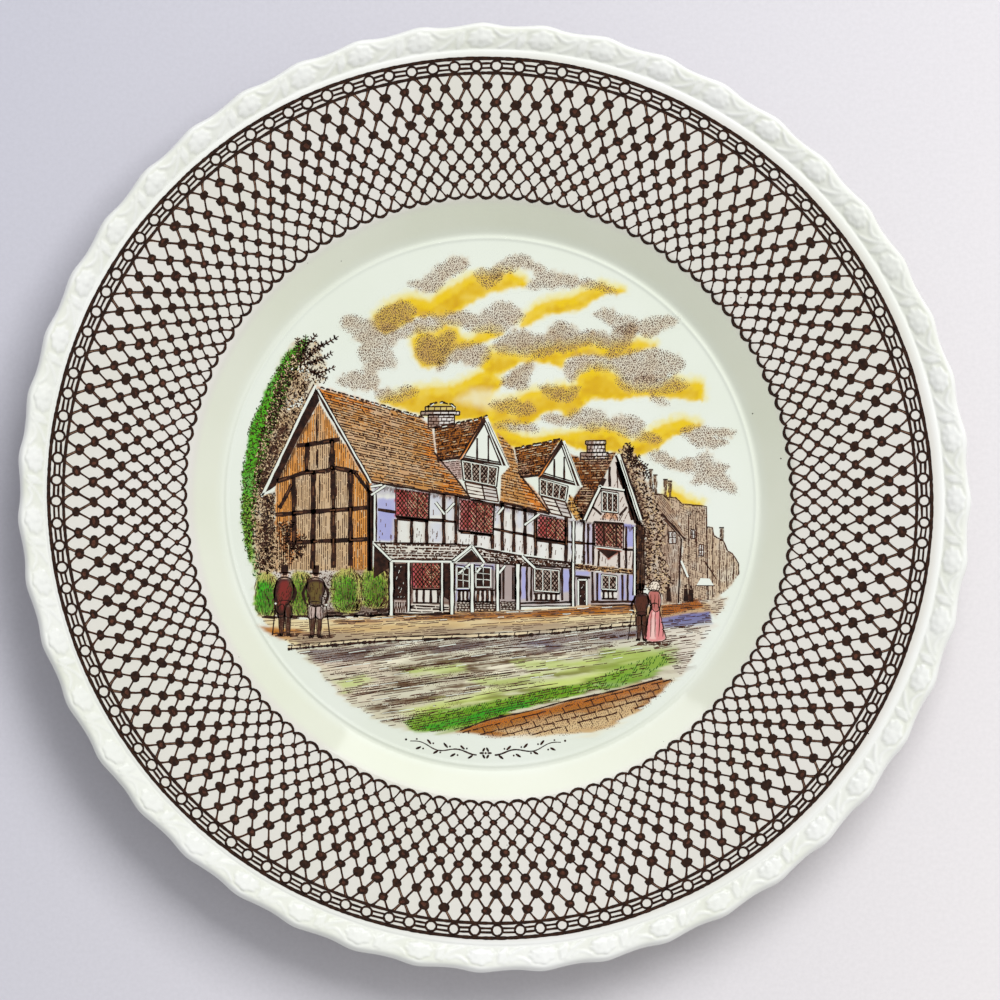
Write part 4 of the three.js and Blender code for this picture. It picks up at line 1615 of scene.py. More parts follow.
def lower_right(drawing):
    """The shop windows and the door under the right-hand end."""
    wash(SHOP_SHADE, [(8, -16), (22, -16.8), (39.4, -18.2), (39.4, -26.2), (8, -27)], soft=0.2)
    for x0, x1, top, foot in ((8.4, 9.6, -16.6, -25), (19.4, 21.4, -17, -23), (22.8, 26.6, -17.4, -18.6),
                              (28.4, 30, -18, -25), (34.6, 36.2, -18.4, -25), (37.2, 39, -18.4, -26)):
        shaded_wall(x0, x1, top, foot, LAVENDER, 0.9)
    window_in(drawing, [(11.9, -22.8), (18.4, -23.2), (18.4, -17.4), (11.9, -16.9)], 2)
    window_in(drawing, [(29.9, -22.2), (33.8, -22.4), (33.8, -18.8), (29.9, -18.4)], 1)
    boards_below(drawing, 11.6, 18.6, -23.6, -25.4, 1.35)
    boards_below(drawing, 29.8, 34, -22.8, -24.8, 1.2)
    for x, top, foot in ((9.8, -16.4, -25.6), (11, -16.6, -25.6), (19.2, -16.8, -25.4), (21.4, -17, -26),
                         (27.4, -17.6, -25.4), (28.6, -17.8, -25.4), (35.4, -18.2, -25.2),
                         (36.8, -18.3, -25.2)):
        beam(drawing, (x, top), (x, foot), 0.6)
    pale_post(drawing, 22.2, -15, -27, 0.9)
    plain_door(drawing, 23.2, 26.2, -19.2, -26.6)
    drawing.ink.line(22.9, -18.8, 26.8, -19.2, 0.6)
    for y, width in ((-25.6, 0.6), (-26.5, 0.35)):
        drawing.ink.line(8.2, y - 0.6, 22, y - 0.2, width, parts=8, sway=0.08, rough=0.3)
        drawing.ink.line(27, y - 0.1, 38.6, y + 0.1, width, parts=8, sway=0.08, rough=0.3)


def oriel(drawing):
    """The oriel window in the right-hand gable, on its dark bracket."""
    corners = [(28.3, -10.4), (35.4, -11.2), (35.4, -4.8), (28.1, -4.4)]
    panel = Panel(*corners)
    window_in(drawing, corners, 2, glow=ORIEL_PANE)
    glints(drawing, panel)
    panel.line(drawing.over, 0.3, 0, 0.3, 1, 0.4)
    panel.line(drawing.over, 0.78, 0, 0.78, 1, 0.5)
    wash(ORIEL_FOOT, [(28, -10.8), (35.6, -11.6), (31.6, -14.2)], soft=0.25)
    drawing.ink.shape([(28.6, -11.4), (34.6, -12), (31.6, -14)])
    drawing.lights.line(28.2, -10.9, 35.4, -11.7, 0.3)
    wash(ORANGE_LIGHT, [(31, -1.2), (34, -1.4), (34, -3.4), (29.6, -3.2)], soft=0.3, strength=0.7)
    hatch(drawing.lines, [(29.4, -3.6), (31, -1.4), (34.2, -1.6), (35.4, -4)], 80, 0.4, 0.22, 1.0, 0.7)
    drawing.ink.line(28, -4.3, 35.8, -4.8, 0.5)


def right_gable(drawing):
    """The gable at the front's right-hand end, with its bargeboards, window and timbers."""
    wall = [(34, 14), (25.6, -3.4), (25.4, -16), (38.8, -17), (40, -5)]
    wash(GABLE_PLASTER, wall, soft=0.15)
    plaster = [(34, 12), (31, 4), (27, -3), (30, -4), (37, -4), (38, -3)]
    hatch(drawing.stipple, plaster, 62, 1.1, 0.2, 1.2, 0.5)
    wash(LAVENDER, [(36.4, -6), (38.6, -6), (38.6, -11), (36.4, -11)], soft=0.4)
    wash(BLUE_SHADE, [(35.6, -4.4), (38.8, -5), (38.4, -6.2), (35.6, -5.6)], soft=0.3)
    wash(LILAC, [(25.4, -4.6), (27.6, -4.8), (27.6, -15.6), (25.4, -15.4)], soft=0.4, strength=0.8)
    drawing.ink.shape([(34.1, 14.4), (33.8, 9), (36.6, 2), (38.6, -4.4), (40.8, -5.4), (37.4, 5)])
    drawing.ink.line(34, 12, 38.2, -3.6, 0.9, parts=8, sway=0.1, rough=0.4)
    for a, b, width in (((34.1, 15.2), (25.2, -3.8), 1.1), ((34.4, 14), (41, -5.6), 1.7)):
        drawing.ink.line(*a, *b, width + 0.3, parts=10, sway=0.05)
        drawing.lights.line(*a, *b, width * 0.5, parts=10, sway=0.05, rough=0.15)
    drawing.over.line(35, 12.6, 40.4, -4.6, 0.24, parts=10, sway=0.05)
    drawing.lights.line(29, 5.4, 36, 4.4, 0.4)
    beam(drawing, (29.6, 4.9), (35.8, 4.2), 0.6)
    beam(drawing, (32, 10.6), (32, 5.4), 0.7)
    drawing.lines.line(34, 9, 34.2, 5, 0.3)
    window_in(drawing, [(30, -1.2), (34.2, -1.6), (34.2, 3.4), (30, 4)], 2)
    for a, b in (((27, 0.2), (29.8, -2.2)), ((36.6, 0), (34.6, -2.4))):
        beam(drawing, a, b, 0.6)
    for x, top, foot in ((25.1, -4.2, -15.6), (26.2, -4.6, -15.6), (27.6, -4.8, -15.8), (36.4, -5.4, -16.6),
                         (29, -12, -16), (34.6, -12, -16.4)):
        beam(drawing, (x, top), (x, foot), 0.62)
    beam(drawing, (25.2, -9.9), (28.2, -10.2), 0.55)
    beam(drawing, (35.6, -11.4), (39, -11.7), 0.6)
    pale_post(drawing, 22.3, -4, -15.2, 0.8)
    pale_post(drawing, 38.7, -5.4, -26.4, 0.8)


FRONT_COVER = [
    (-32.6, 5.4), (-5, 1.6), (16, -2.4), (25, -4), (34.4, 15.4), (41.2, -5.8), (39.4, -6), (39.4, -26.6),
    (8, -28), (-10, -30), (-27, -30), (-27, -20), (-31.4, -18),
]


def front():
    drawing = Drawing("front")
    drawing.covers.append(FRONT_COVER)
    upper_wall(drawing)
    upper_windows(drawing)
    right_gable(drawing)
    oriel(drawing)
    porch(drawing)
    bay(drawing)
    lower_right(drawing)
    pent_roofs(drawing)


# ---------------------------------------------------------------- the picture: trees, hedge and ivy

BRIGHT_GREEN, PALE_GREEN, DARK_GREEN = (84, 172, 28), (140, 178, 74), (62, 110, 34)
CROWN_EDGE, CROWN_BROWN, CROWN_DEEP = (214, 200, 172), (164, 136, 104), (76, 48, 28)
SHRUB_TAN, SHRUB_ORANGE = (198, 160, 122), (190, 112, 54)
BUSH_CROWN, BUSH_SHADE = (188, 184, 104), (74, 66, 26)
BANK, BANK_SHADE, BANK_BROWN, BANK_DARK = (214, 206, 200), (150, 134, 124), (150, 104, 66), (92, 62, 48)
IVY_SHADOW, IVY_PALE, IVY_BROWN = (96, 66, 54), (188, 164, 142), (156, 126, 104)


def leafage(drawing, outline, dark, pale, pitch=0.95):
    """Foliage: close brown curls with pale ones among them."""
    curls(drawing.lines, outline, pitch * 0.72, 0.5, 0.3, dark)
    curls(drawing.pale, outline, pitch, 0.45, 0.28, pale)


def twigs(drawing, root, tips, width=0.34):
    """Feathery branches: bowed stems with small leaves in pairs."""
    root = np.array(root, float)
    for tip in tips:
        tip = np.array(tip, float)
        bow = np.array([-(tip - root)[1], (tip - root)[0]]) * random.uniform(-0.2, 0.2)
        line = curve_through([root, (root + tip) / 2 + bow, tip], 5)
        drawing.lines.stroke(line, width, rough=0.3, taper=0.4)
        heading = math.atan2(*(tip - root)[::-1])
        for place in np.arange(0.25, 1, 0.75 / np.hypot(*(tip - root))):
            x, y = line[int(place * (len(line) - 1))]
            for side in (-0.9, 0.9):
                turn = heading + side + random.uniform(-0.25, 0.25)
                reach = random.uniform(0.35, 0.6)
                x1, y1 = x + reach * math.cos(turn), y + reach * math.sin(turn)
                drawing.ink.spot(x1, y1, 0.4, random.uniform(0.8, 1.15), turn - math.pi / 2, 6, 0.2)


def tree_crown(drawing):
    """The brown crown, with deep hollows in its leaves."""
    crown = [(-52, 44), (-56, 38.5), (-60, 30), (-64, 20), (-66, 8), (-66.2, -5), (-65.2, -12),
             (-62.5, -20), (-56, -21), (-57, -10), (-57.6, 3), (-61.2, 2), (-54.6, 15), (-47.6, 31),
             (-44, 33), (-44, 38), (-46.5, 43.5)]
    wash(CROWN_EDGE, crown, soft=0.6, ragged=0.5, strength=0.7)
    inner = [(-53, 40), (-58, 30), (-61, 20), (-63, 9), (-63.6, -4), (-62.6, -18), (-57.4, -19), (-57.6, 3),
             (-61, 2.4), (-55, 14), (-51, 22), (-49.4, 28), (-49, 36)]
    wash(CROWN_BROWN, inner, soft=0.9, ragged=0.8, strength=0.7, blotch=0.4)
    depths = [
        [(-62.4, 9), (-60.6, 12), (-56.4, 20), (-53.4, 22), (-57, 12), (-61, 3.4), (-62.6, 4)],
        [(-60.8, 1.6), (-57.8, 3), (-57.6, -14), (-59.6, -16), (-60.8, -6)],
        [(-57, 36), (-54.6, 37.6), (-53.6, 32), (-57, 27)],
        [(-58.6, 27), (-56, 31), (-54.4, 27), (-58.6, 18), (-60.4, 19)],
        [(-62, 8), (-60, 9), (-59.6, 4), (-61.6, 2.4), (-63, 3)],
        [(-61.6, -8), (-59.6, -6), (-59, -16), (-61.6, -18)],
    ]
    for part in depths:
        wash(CROWN_DEEP, part, soft=0.6, ragged=0.5, strength=0.85)
        leaves(drawing.ink, part, 0.62, 0.7, 0.8)
    leafage(drawing, inner, 0.9, 0.8, 0.88)
    leaves(drawing.ink, inner, 1.3, 0.8, 0.5)
    top = [(-51, 44), (-55, 38), (-52, 28), (-47.6, 31), (-44, 33), (-44, 38), (-46.5, 43.5)]
    leafage(drawing, top, 0.6, 0.3)


def tree_ivy(drawing):
    """The bright green band down the outer side of the tree, shaded on its inner side."""
    band = [(-49, 44.8), (-55, 40), (-60, 30), (-64.2, 20), (-66.2, 8), (-66.4, -5), (-65.4, -12),
            (-64, -16), (-63, -8), (-63, -2), (-62, 4), (-60.8, 10), (-58.4, 18), (-55.6, 26), (-53.2, 33),
            (-49.6, 40)]
    shaded = [(-52, 40), (-56, 32), (-59, 25), (-62, 14), (-63.6, 4), (-64, -6), (-63, -8), (-63, -2),
              (-62, 4), (-60.8, 10), (-58.4, 18), (-55.6, 26), (-53.2, 33), (-50, 39)]
    wash(BRIGHT_GREEN, band, soft=0.4, ragged=0.35)
    lower = [(-65.9, 2), (-66.2, -5), (-65.4, -12), (-62.6, -20.5), (-61.2, -19), (-63.2, -10), (-63.6, 1)]
    wash(PALE_GREEN, lower, soft=0.6, ragged=0.5, strength=0.75)
    wash(DARK_GREEN, shaded, soft=0.6, ragged=0.5, strength=0.6)
    leaves(drawing.green, band, 0.56, 0.6, 0.55)
    leaves(drawing.ink, shaded, 0.66, 0.62, 0.6)
    curls(drawing.lines, band, 0.76, 0.42, 0.24, 0.9)
    curls(drawing.pale, shaded, 1.0, 0.4, 0.2, 0.35)
    fringe = moved(band[:8], -0.5, 0.2) + [(-64, -12), (-64, 8), (-57, 28)]
    leaves(drawing.green, fringe, 0.8, 0.7, 0.5)
    curls(drawing.green, lower, 0.9, 0.5, 0.32, 0.8)


def tree():
    drawing = Drawing("tree")
    tree_crown(drawing)
    tree_ivy(drawing)
    gaps = [[(-55.4, 25), (-52.6, 24), (-50.4, 26.6), (-49.2, 29.6), (-52, 27)],
            [(-53.4, 36), (-49, 34), (-48, 38)]]
    for gap in gaps:
        leaves(drawing.lights, gap, 0.8, 0.8, 0.6)
    twigs(drawing, (-51, 37), [(-46.4, 45.6), (-44.4, 43.2), (-40.6, 45), (-42, 40.8), (-41.4, 36.8),
                               (-43.4, 33.4), (-45.2, 39), (-49.4, 45.4), (-51.6, 44.6)])


def shrub():
    """The autumn shrub before the gable end."""
    drawing = Drawing("shrub")
    outline = [(-57, -5.4), (-53, -4.6), (-51.2, -8), (-48.6, -10.2), (-50.2, -14.4), (-55, -17.6),
               (-62, -19), (-61.4, -13), (-58, -9)]
    wash(SHRUB_TAN, outline, soft=0.7, ragged=0.5, strength=0.75)
    wash(SHRUB_ORANGE, [(-57, -5.4), (-53.4, -4.8), (-50.8, -8), (-50, -13), (-53.6, -16), (-56, -13)],
         soft=0.8, ragged=0.6, strength=0.7)
    leafage(drawing, outline, 0.85, 0.25, 0.85)
    twigs(drawing, (-54.6, -12), [(-49.4, -8.4), (-48.8, -11.4), (-50.2, -14.4), (-52.6, -4.6),
                                  (-56.4, -5.2)], 0.4)


def bush(drawing, x, y, across, tall, colour):
    """A clipped bush: bright green with a pale crown, drawn in fine bowed strokes."""
    turn = np.linspace(0, 2 * math.pi, 14, endpoint=False)
    outline = np.stack([x + across / 2 * np.cos(turn), y + tall / 2 * np.sin(turn)], 1)
    outline += (outline - (x, y)) * (0.12 * np.sin(2 * turn) ** 2)[:, None]
    wash(BUSH_CROWN, outline, soft=0.5, ragged=0.35)
    core = (outline - (x, y)) * 0.74 + (x - across * 0.06, y - tall * 0.05)
    wash(colour, core, soft=1.0, ragged=0.6, strength=0.95, blotch=0.2)
    low = outline * 0.5 + np.array([x + across * 0.14, y - tall * 0.22]) * 0.5
    wash(BUSH_SHADE, low, soft=1.2, ragged=0.8, strength=0.5)
    for k in range(int(across * tall * 2.6)):
        a = random.uniform(-0.98, 0.98)
        low = random.uniform(-0.96, 0.72)
        t = np.linspace(low, low + random.uniform(0.1, 0.22), 4)
        reach = np.sqrt(1 - np.abs(t) ** 3)
        line = np.stack([x + across / 2 * a * reach, y + tall / 2 * t], 1)
        chosen = drawing.lines if k % 3 == 0 or a > 0.5 else drawing.green
        chosen.stroke(line, 0.19 if a > 0 else 0.14, taper=0.5, rough=0.2)


BUSHES = [      # middle, width, height and colour
    (-59.6, -24.8, 7.0, 12.4, (66, 176, 18)),
    (-50.6, -24.4, 6.6, 12.4, (112, 162, 34)),
    (-38.2, -23.4, 9.0, 11.8, (96, 166, 20)),
    (-30.6, -22.4, 8.4, 11.4, (110, 166, 36)),
]


def hedge():
    """The clipped bushes before the gable end, on their bank."""
    drawing = Drawing("hedge")
    drawing.covers.append([(-62.4, -20), (-58, -18.6), (-34, -17.4), (-27, -20), (-27, -30.4), (-60, -31)])
    bank = [(-62, -21.6), (-58, -18.4), (-50, -18), (-42, -18), (-33, -17.6), (-31, -19), (-26.8, -23),
            (-26.8, -29.4), (-34, -30.2), (-50, -30.8), (-58, -31)]
    wash(BANK, bank, soft=0.3, ragged=0.2)
    wash(BANK_SHADE, [(-45, -19), (-41, -19), (-41, -29), (-45, -30)], soft=0.8, strength=0.5)
    wash(BANK_BROWN, [(-40, -17.6), (-34, -16.6), (-33, -19), (-40, -19)], soft=0.5, strength=0.7)
    wash(BANK_DARK, [(-36, -26.4), (-26.8, -24.6), (-26.8, -29.6), (-46, -30.6), (-44, -28.6)], soft=0.6,
         strength=0.85)
    stipple(drawing.stipple, bank, 0.7, 0.6, 1.0, 0.6)
    for x, y, across, tall, colour in BUSHES:
        bush(drawing, x, y, across, tall, colour)
    curls(drawing.lines, [(-45, -19), (-41.6, -19), (-42, -28), (-46, -29)], 0.8, 0.45, 0.26, 0.7)
    foot = [(-46, -29.4), (-26.8, -27.6), (-26.8, -29.8), (-46, -30.8)]
    hatch(drawing.ink, foot, 4, 0.4, 0.34, 2.2, 0.75, 0.1)
    stems = [(-36, -26), (-26.8, -24), (-26.8, -28), (-40, -28.6)]
    hatch(drawing.lines, stems, 68, 0.5, 0.24, 1.1, 0.7, 0.08)
    drawing.ink.line(-61, -30.6, -27, -29.8, 0.6, parts=22, sway=0.16, rough=0.5)


def ivy():
    """The creeper that hangs over the right-hand gable and the shadow beside it."""
    drawing = Drawing("ivy")
    shadow = [(38.9, -3.6), (40.6, -4.4), (41.6, -6), (41.4, -20), (40.6, -27.4), (38.9, -27)]
    wash(IVY_SHADOW, shadow, soft=0.3)
    hatch(drawing.ink, shadow, 88, 0.42, 0.4, 3.0, 0.95, 0.05)
    growth = [(34.6, 15.4), (36.4, 16.8), (38.2, 15.6), (39.6, 12.4), (41.6, 10.6), (41.8, 7), (44, 4),
              (45.4, -1), (47, -5), (46.4, -12), (48.2, -18), (49.4, -20.4), (47, -23), (43.4, -23.4),
              (41.6, -21), (41.6, -6), (40.8, -4), (38.4, 4)]
    drawing.covers += [shadow, growth]
    wash(IVY_PALE, growth, soft=0.6, ragged=0.4, strength=0.85)
    wash(IVY_BROWN, [(36, 13), (38, 10), (42, 0), (43.4, -8), (43.4, -20), (41.6, -20), (41.6, -5),
                     (38.6, 4)], soft=0.8, ragged=0.4, strength=0.85)
    leafage(drawing, growth, 0.95, 0.45, 0.84)
    depth = [(38, 9), (41.4, 0), (42.8, -6), (42.6, -20), (41.4, -20), (41, -5), (37.8, 6)]
    leaves(drawing.ink, depth, 0.62, 0.66, 0.66)
    twigs(drawing, (37, 12), [(36.6, 17.2), (38.6, 16.4), (40.4, 13.8), (42.2, 10.6), (42.8, 7.6)], 0.3)


# ---------------------------------------------------------------- the picture: the houses beyond

FAR_WALL, BLOCK_WALL = (204, 182, 156), (198, 176, 152)
NEAR_WALL, NEAR_ROOF = (182, 158, 138), (176, 148, 124)
STACK_BROWN, PANE_WHITE = (150, 122, 96), (238, 238, 232)
FAR_GROUND, FAR_STREET = (206, 186, 160), (196, 166, 128)
FAR_BRICK, BLUE_SHADOW = (172, 100, 52), (116, 118, 172)


def stacks(drawing, places):
    """Thin chimney pots seen far away: x, foot, top and width."""
    for x, foot, top, width in places:
        box = upright_box(x, x + width, top, foot)
        wash(STACK_BROWN, box, soft=0.2, strength=0.9)
        hatch(drawing.lines, box, 88, 0.36, 0.24, 1.6, 0.9)
        drawing.ink.line(x - 0.2, top, x + width + 0.2, top, 0.34)


def far_walls(drawing):
    """The faces of the three houses, each darker than the one behind it."""
    near_roof = [(42.9, 3.4), (46.2, 3.4), (48, 1.8), (52.4, -8.2), (51.4, -8.6), (44, -0.4)]
    near_wall = [(44, -0.4), (51.4, -8.6), (50.4, -25.8), (46, -26), (45, -14)]
    block = [(47.4, 2.6), (49.8, 2.6), (51.4, 0.9), (58, 0.3), (58.4, -24.8), (50.4, -25.8), (51.6, -8.4),
             (52.4, -8.2)]
    far = [(58, -5.2), (59.6, -5.4), (60, -7.6), (62.6, -9), (63.6, -11.6), (65, -12.4), (66.6, -15),
           (66.6, -18), (64, -21.6), (61, -24), (58.4, -24.8)]
    for outline, colour in ((far, FAR_WALL), (block, BLOCK_WALL), (near_wall, NEAR_WALL),
                            (near_roof, NEAR_ROOF)):
        wash(colour, outline, soft=0.4, ragged=0.2, blotch=0.25)
        for a, b in zip(outline[:-4], outline[1:-3]):
            drawing.lines.line(*a, *b, 0.3, parts=6, sway=0.06, rough=0.4)
    hatch(drawing.stipple, block, 88, 0.48, 0.2, 1.3, 0.75)
    hatch(drawing.stipple, block, -20, 0.6, 0.16, 0.6, 0.5)
    hatch(drawing.stipple, far, 86, 0.5, 0.2, 1.1, 0.75)
    hatch(drawing.lines, [(52.6, -1), (58, -0.6), (58, -2), (53, -2.4)], 84, 0.5, 0.2, 1, 0.7)
    hatch(drawing.stipple, near_roof, -52, 0.44, 0.22, 1.4, 0.9)
    hatch(drawing.stipple, near_wall, 86, 0.42, 0.2, 1.6, 0.85)
    uprights = [(53.2, -2, -24.8), (55.2, -1, -17), (59.6, -6, -24), (61.4, -9, -23), (63.4, -12, -21.4),
                (65.2, -13, -19.4)]
    for x, top, foot in uprights:
        drawing.lines.line(x, top, x, foot, 0.24, parts=8, sway=0.1, rough=0.5)
    drawing.ink.line(44.4, 0, 52.2, -8.6, 0.55, parts=10, sway=0.08, rough=0.3)
    drawing.ink.line(51.2, -8.6, 50.4, -25.8, 0.45, parts=6, sway=0.06)


def far_details(drawing):
    """The chimney pots, the windows, a small pale roof and a lean-to."""
    stacks(drawing, [(42.7, 3.4, 10, 0.8), (43.9, 3.4, 8.6, 0.8), (46.6, 2.6, 7.4, 0.8),
                     (47.8, 2.6, 7, 0.8), (61.6, -9, -5.4, 0.9)])
    for box in ((47.8, 49.8, -6.6, -9.8), (53.8, 54.8, -6, -8.4), (56, 57.2, -10, -13)):
        pane = Panel(*upright_box(*box))
        wash(PANE_WHITE, pane.outline(), soft=0.15)
        frame_lines(drawing.lines, pane, 0.3, 1, 1)
    drawing.lights.shape([(55.3, -20.9), (56.4, -19), (58.8, -19.1), (59.9, -20.9)])
    drawing.lines.line(55.1, -21, 60.2, -21, 0.3)
    drawing.lines.line(57.4, -14.4, 60.6, -19.2, 0.3)
    beyond = [(56.4, -24.6), (63.6, -24), (62.6, -27.2), (60.4, -29.4), (58.4, -28.2), (56.6, -27)]
    wash(FAR_GROUND, beyond, soft=0.8, ragged=0.6, strength=0.8)
    streaks(drawing.stipple, beyond, 5, 0.5, 0.22, 1.6, 0.7)
    drawing.lights.line(51.2, -14.4, 53, -18.8, 0.5)
    drawing.lines.line(50.6, -14.2, 52.6, -19, 0.24)


def far_street(drawing):
    """The street before the far houses: a brick wall, and its blue shadow on the road."""
    ground = [(40, -27), (48, -26), (58, -25.4), (60, -28.4), (50, -29.6), (40, -31)]
    wash(FAR_STREET, ground, soft=0.5, ragged=0.4)
    wall = [(46, -26.8), (50, -26), (54, -24.9), (56.6, -24.6), (57, -26.8), (52, -28.2), (45.8, -29.6)]
    wash(FAR_BRICK, wall, soft=0.4, ragged=0.4, blotch=0.4)
    stipple(drawing.stipple, wall, 0.5, 0.8, 0.8, 0.8)
    hatch(drawing.lines, wall, 3, 0.5, 0.24, 2.4, 0.7)
    shade = [(43, -30.4), (52, -28.8), (58.8, -27.8), (59.4, -31), (52, -32.4), (44, -33.6)]
    hatch(drawing.lines, shade, 5, 0.45, 0.22, 2.4, 0.75, 0.1)
    wash(BLUE_SHADOW, shade, soft=0.6, ragged=0.4, strength=0.9)


def houses_beyond():
    drawing = Drawing("houses_beyond")
    far_walls(drawing)
    far_details(drawing)
    far_street(drawing)


# ---------------------------------------------------------------- the picture: street and people

SAND, PAVING_ORANGE = (232, 214, 170), (184, 116, 50)
PAVING_TAN, PAVING_BROWN = (206, 170, 116), (148, 84, 40)
PAVING_GREY, KERB, ROAD, ROAD_DARK = (176, 156, 132), (232, 214, 178), (214, 208, 184), (152, 132, 112)
ROAD_BLUE, ROAD_PALE = (112, 112, 140), (232, 216, 196)
ROAD_LIME, ROAD_END = (196, 212, 132), (226, 218, 206)
ROAD_END_STREAK, GRASS_GLOW, GRASS_OLIVE = (136, 118, 106), (204, 220, 128), (128, 132, 66)
GRASS_LIGHT, MEADOW, GRASS_DEEP, GRASS_END = (140, 186, 60), (108, 156, 20), (40, 158, 24), (112, 164, 40)
GRASS_FAINT, BRICK = (150, 176, 84), (172, 112, 56)
BRICK_BRIGHT, BRICK_PALE = (188, 106, 48), (236, 214, 170)


def streaks(print_, outline, slope, pitch, width, dash, keep):
    """Long brush streaks that follow the road."""
    hatch(print_, outline, slope, pitch, width, dash, keep, 0.12)


def paving(drawing):
    """The pavement before the houses, orange and brown at its far side, and its kerb."""
    pavement = [(-62, -30), (-50, -31), (-26, -29.8), (0, -28.4), (22, -27), (39, -26.4), (40, -30.6),
                (15, -33.2), (0, -34.2), (-30, -36.2), (-52, -38.4), (-56, -36)]
    wash(SAND, pavement, soft=0.4, ragged=0.3)
    strip = [(-45, -31), (-26, -30), (-8, -29.2), (8, -28.2), (24, -27.2), (39, -26.4), (38, -28.4),
             (20, -29.6), (2, -30.6), (-22, -31.2), (-40, -32.2)]
    corner = [(-62, -33), (-52, -33.6), (-44, -35.4), (-56, -36.4)]
    for band in (strip, corner):
        wash(PAVING_ORANGE, band, soft=0.7, ragged=0.5, strength=0.9, blotch=0.4)
    wash(PAVING_TAN, [(-50, -33), (-20, -31.8), (4, -31), (20, -30.4), (14, -32.4), (-10, -33.6),
                      (-40, -35.6)], soft=1.0, ragged=0.6, strength=0.7)
    wash(PAVING_BROWN, [(-24, -30.2), (0, -29), (20, -27.8), (38, -26.8), (38, -27.4), (8, -29.4),
                        (-20, -30.8)], soft=0.4, ragged=0.4, strength=0.7)
    streaks(drawing.stipple, strip, 3.4, 0.45, 0.2, 3.4, 0.6)
    streaks(drawing.lines, strip, 3.4, 1.1, 0.18, 3.4, 0.4)
    streaks(drawing.stipple, pavement, 4, 0.55, 0.2, 3.0, 0.6)
    low = [(-54, -35), (-30, -34), (0, -32.2), (20, -31.4), (39, -29.4), (40, -31.2), (0, -34.6),
           (-50, -38.4)]
    wash(PAVING_GREY, low, soft=0.7, ragged=0.6, strength=0.8, blotch=0.5)
    streaks(drawing.lights, strip, 3.4, 1.3, 0.2, 2.4, 0.3)
    kerb = [(-54, -38.4), (-44, -37.4), (-28, -36), (0, -34.6), (15, -33.6), (28, -32.2), (40, -31)]
    line = curve_through(kerb, 8)
    wash(KERB, [*line + (0, 0.2), *line[::-1] - (0, 0.7)], soft=0.15, ragged=0.1)
    for shift, width in ((0.25, 0.26), (-0.75, 0.6)):
        for a, b in zip(line, line[1:]):
            drawing.ink.line(*a + (0, shift), *b + (0, shift), width * random.uniform(0.5, 1.4), rough=0.5)
    for x, y in line[1::2]:
        drawing.ink.line(x, y + 0.2, x - 0.3, y - 0.7, 0.24)


ROAD_SURFACE = [
    (-53, -38.8), (-28, -37), (0, -35.4), (15, -34.4), (40, -31.8), (58, -31.8), (57, -35), (53.4, -41),
    (51, -45.6), (46, -49.4), (40, -54), (33, -58), (27, -60), (0, -61.6), (-14, -61.2), (-26, -60),
    (-31, -57.2), (-37, -53.6), (-41, -50.2), (-45, -46), (-46, -43.6),
]
ROADWAY = [     # the road without the grass and the brick path before it
    *ROAD_SURFACE[:6], (46, -38), (30, -42.4), (10, -47), (-10, -52), (-24, -57.6), *ROAD_SURFACE[-6:]
]
ROAD_SLOPE = 8.5        # degrees: how the strokes along the road rise to the right
STREAK_COLOURS = ((98, 76, 58), (244, 238, 214), (112, 92, 76))
ROAD_PATCHES = [       # darker stretches of the road
    [(-50, -40), (-24, -37.4), (10, -35), (40, -32.4), (44, -34.4), (20, -36.6), (0, -38.4), (-20, -40.4),
     (-44, -43)],
    [(-10, -40.4), (14, -38.6), (34, -37), (30, -38.6), (8, -40.6), (-8, -41.6)],
    [(-44, -46), (-30, -43.6), (-8, -42), (-16, -43.8), (-34, -46)],
    [(-40, -50), (-26, -47), (-6, -45), (10, -44.4), (0, -46.4), (-20, -48.4), (-36, -51.4)],
    [(-34, -54), (-20, -51), (-2, -48.6), (14, -47), (4, -49.4), (-12, -51.6), (-28, -55)],
    [(-28, -58), (-18, -55), (-6, -52.6), (-14, -55.4), (-22, -58.6)],
]


def road_streaks():
    """Dark and pale strokes of the brush along the road, where the whole stroke fits on it."""
    for _ in range(150):
        x, y = random.uniform(-46, 48), random.uniform(-58, -37)
        long, thick = random.uniform(4, 12), random.uniform(0.3, 0.8)
        rise = long * random.uniform(0.12, 0.16)
        across, up = np.array([x, x - long, x + long]), np.array([y, y - rise, y + rise])
        if inside_distance(across, up, ROAD_SURFACE).min() > 0:
            streak = [(x - long, y - rise), (x, y + thick), (x + long, y + rise), (x, y - thick)]
            colour = STREAK_COLOURS[random.integers(0, len(STREAK_COLOURS))]
            wash(colour, streak, soft=0.25, ragged=0.4, strength=0.9)


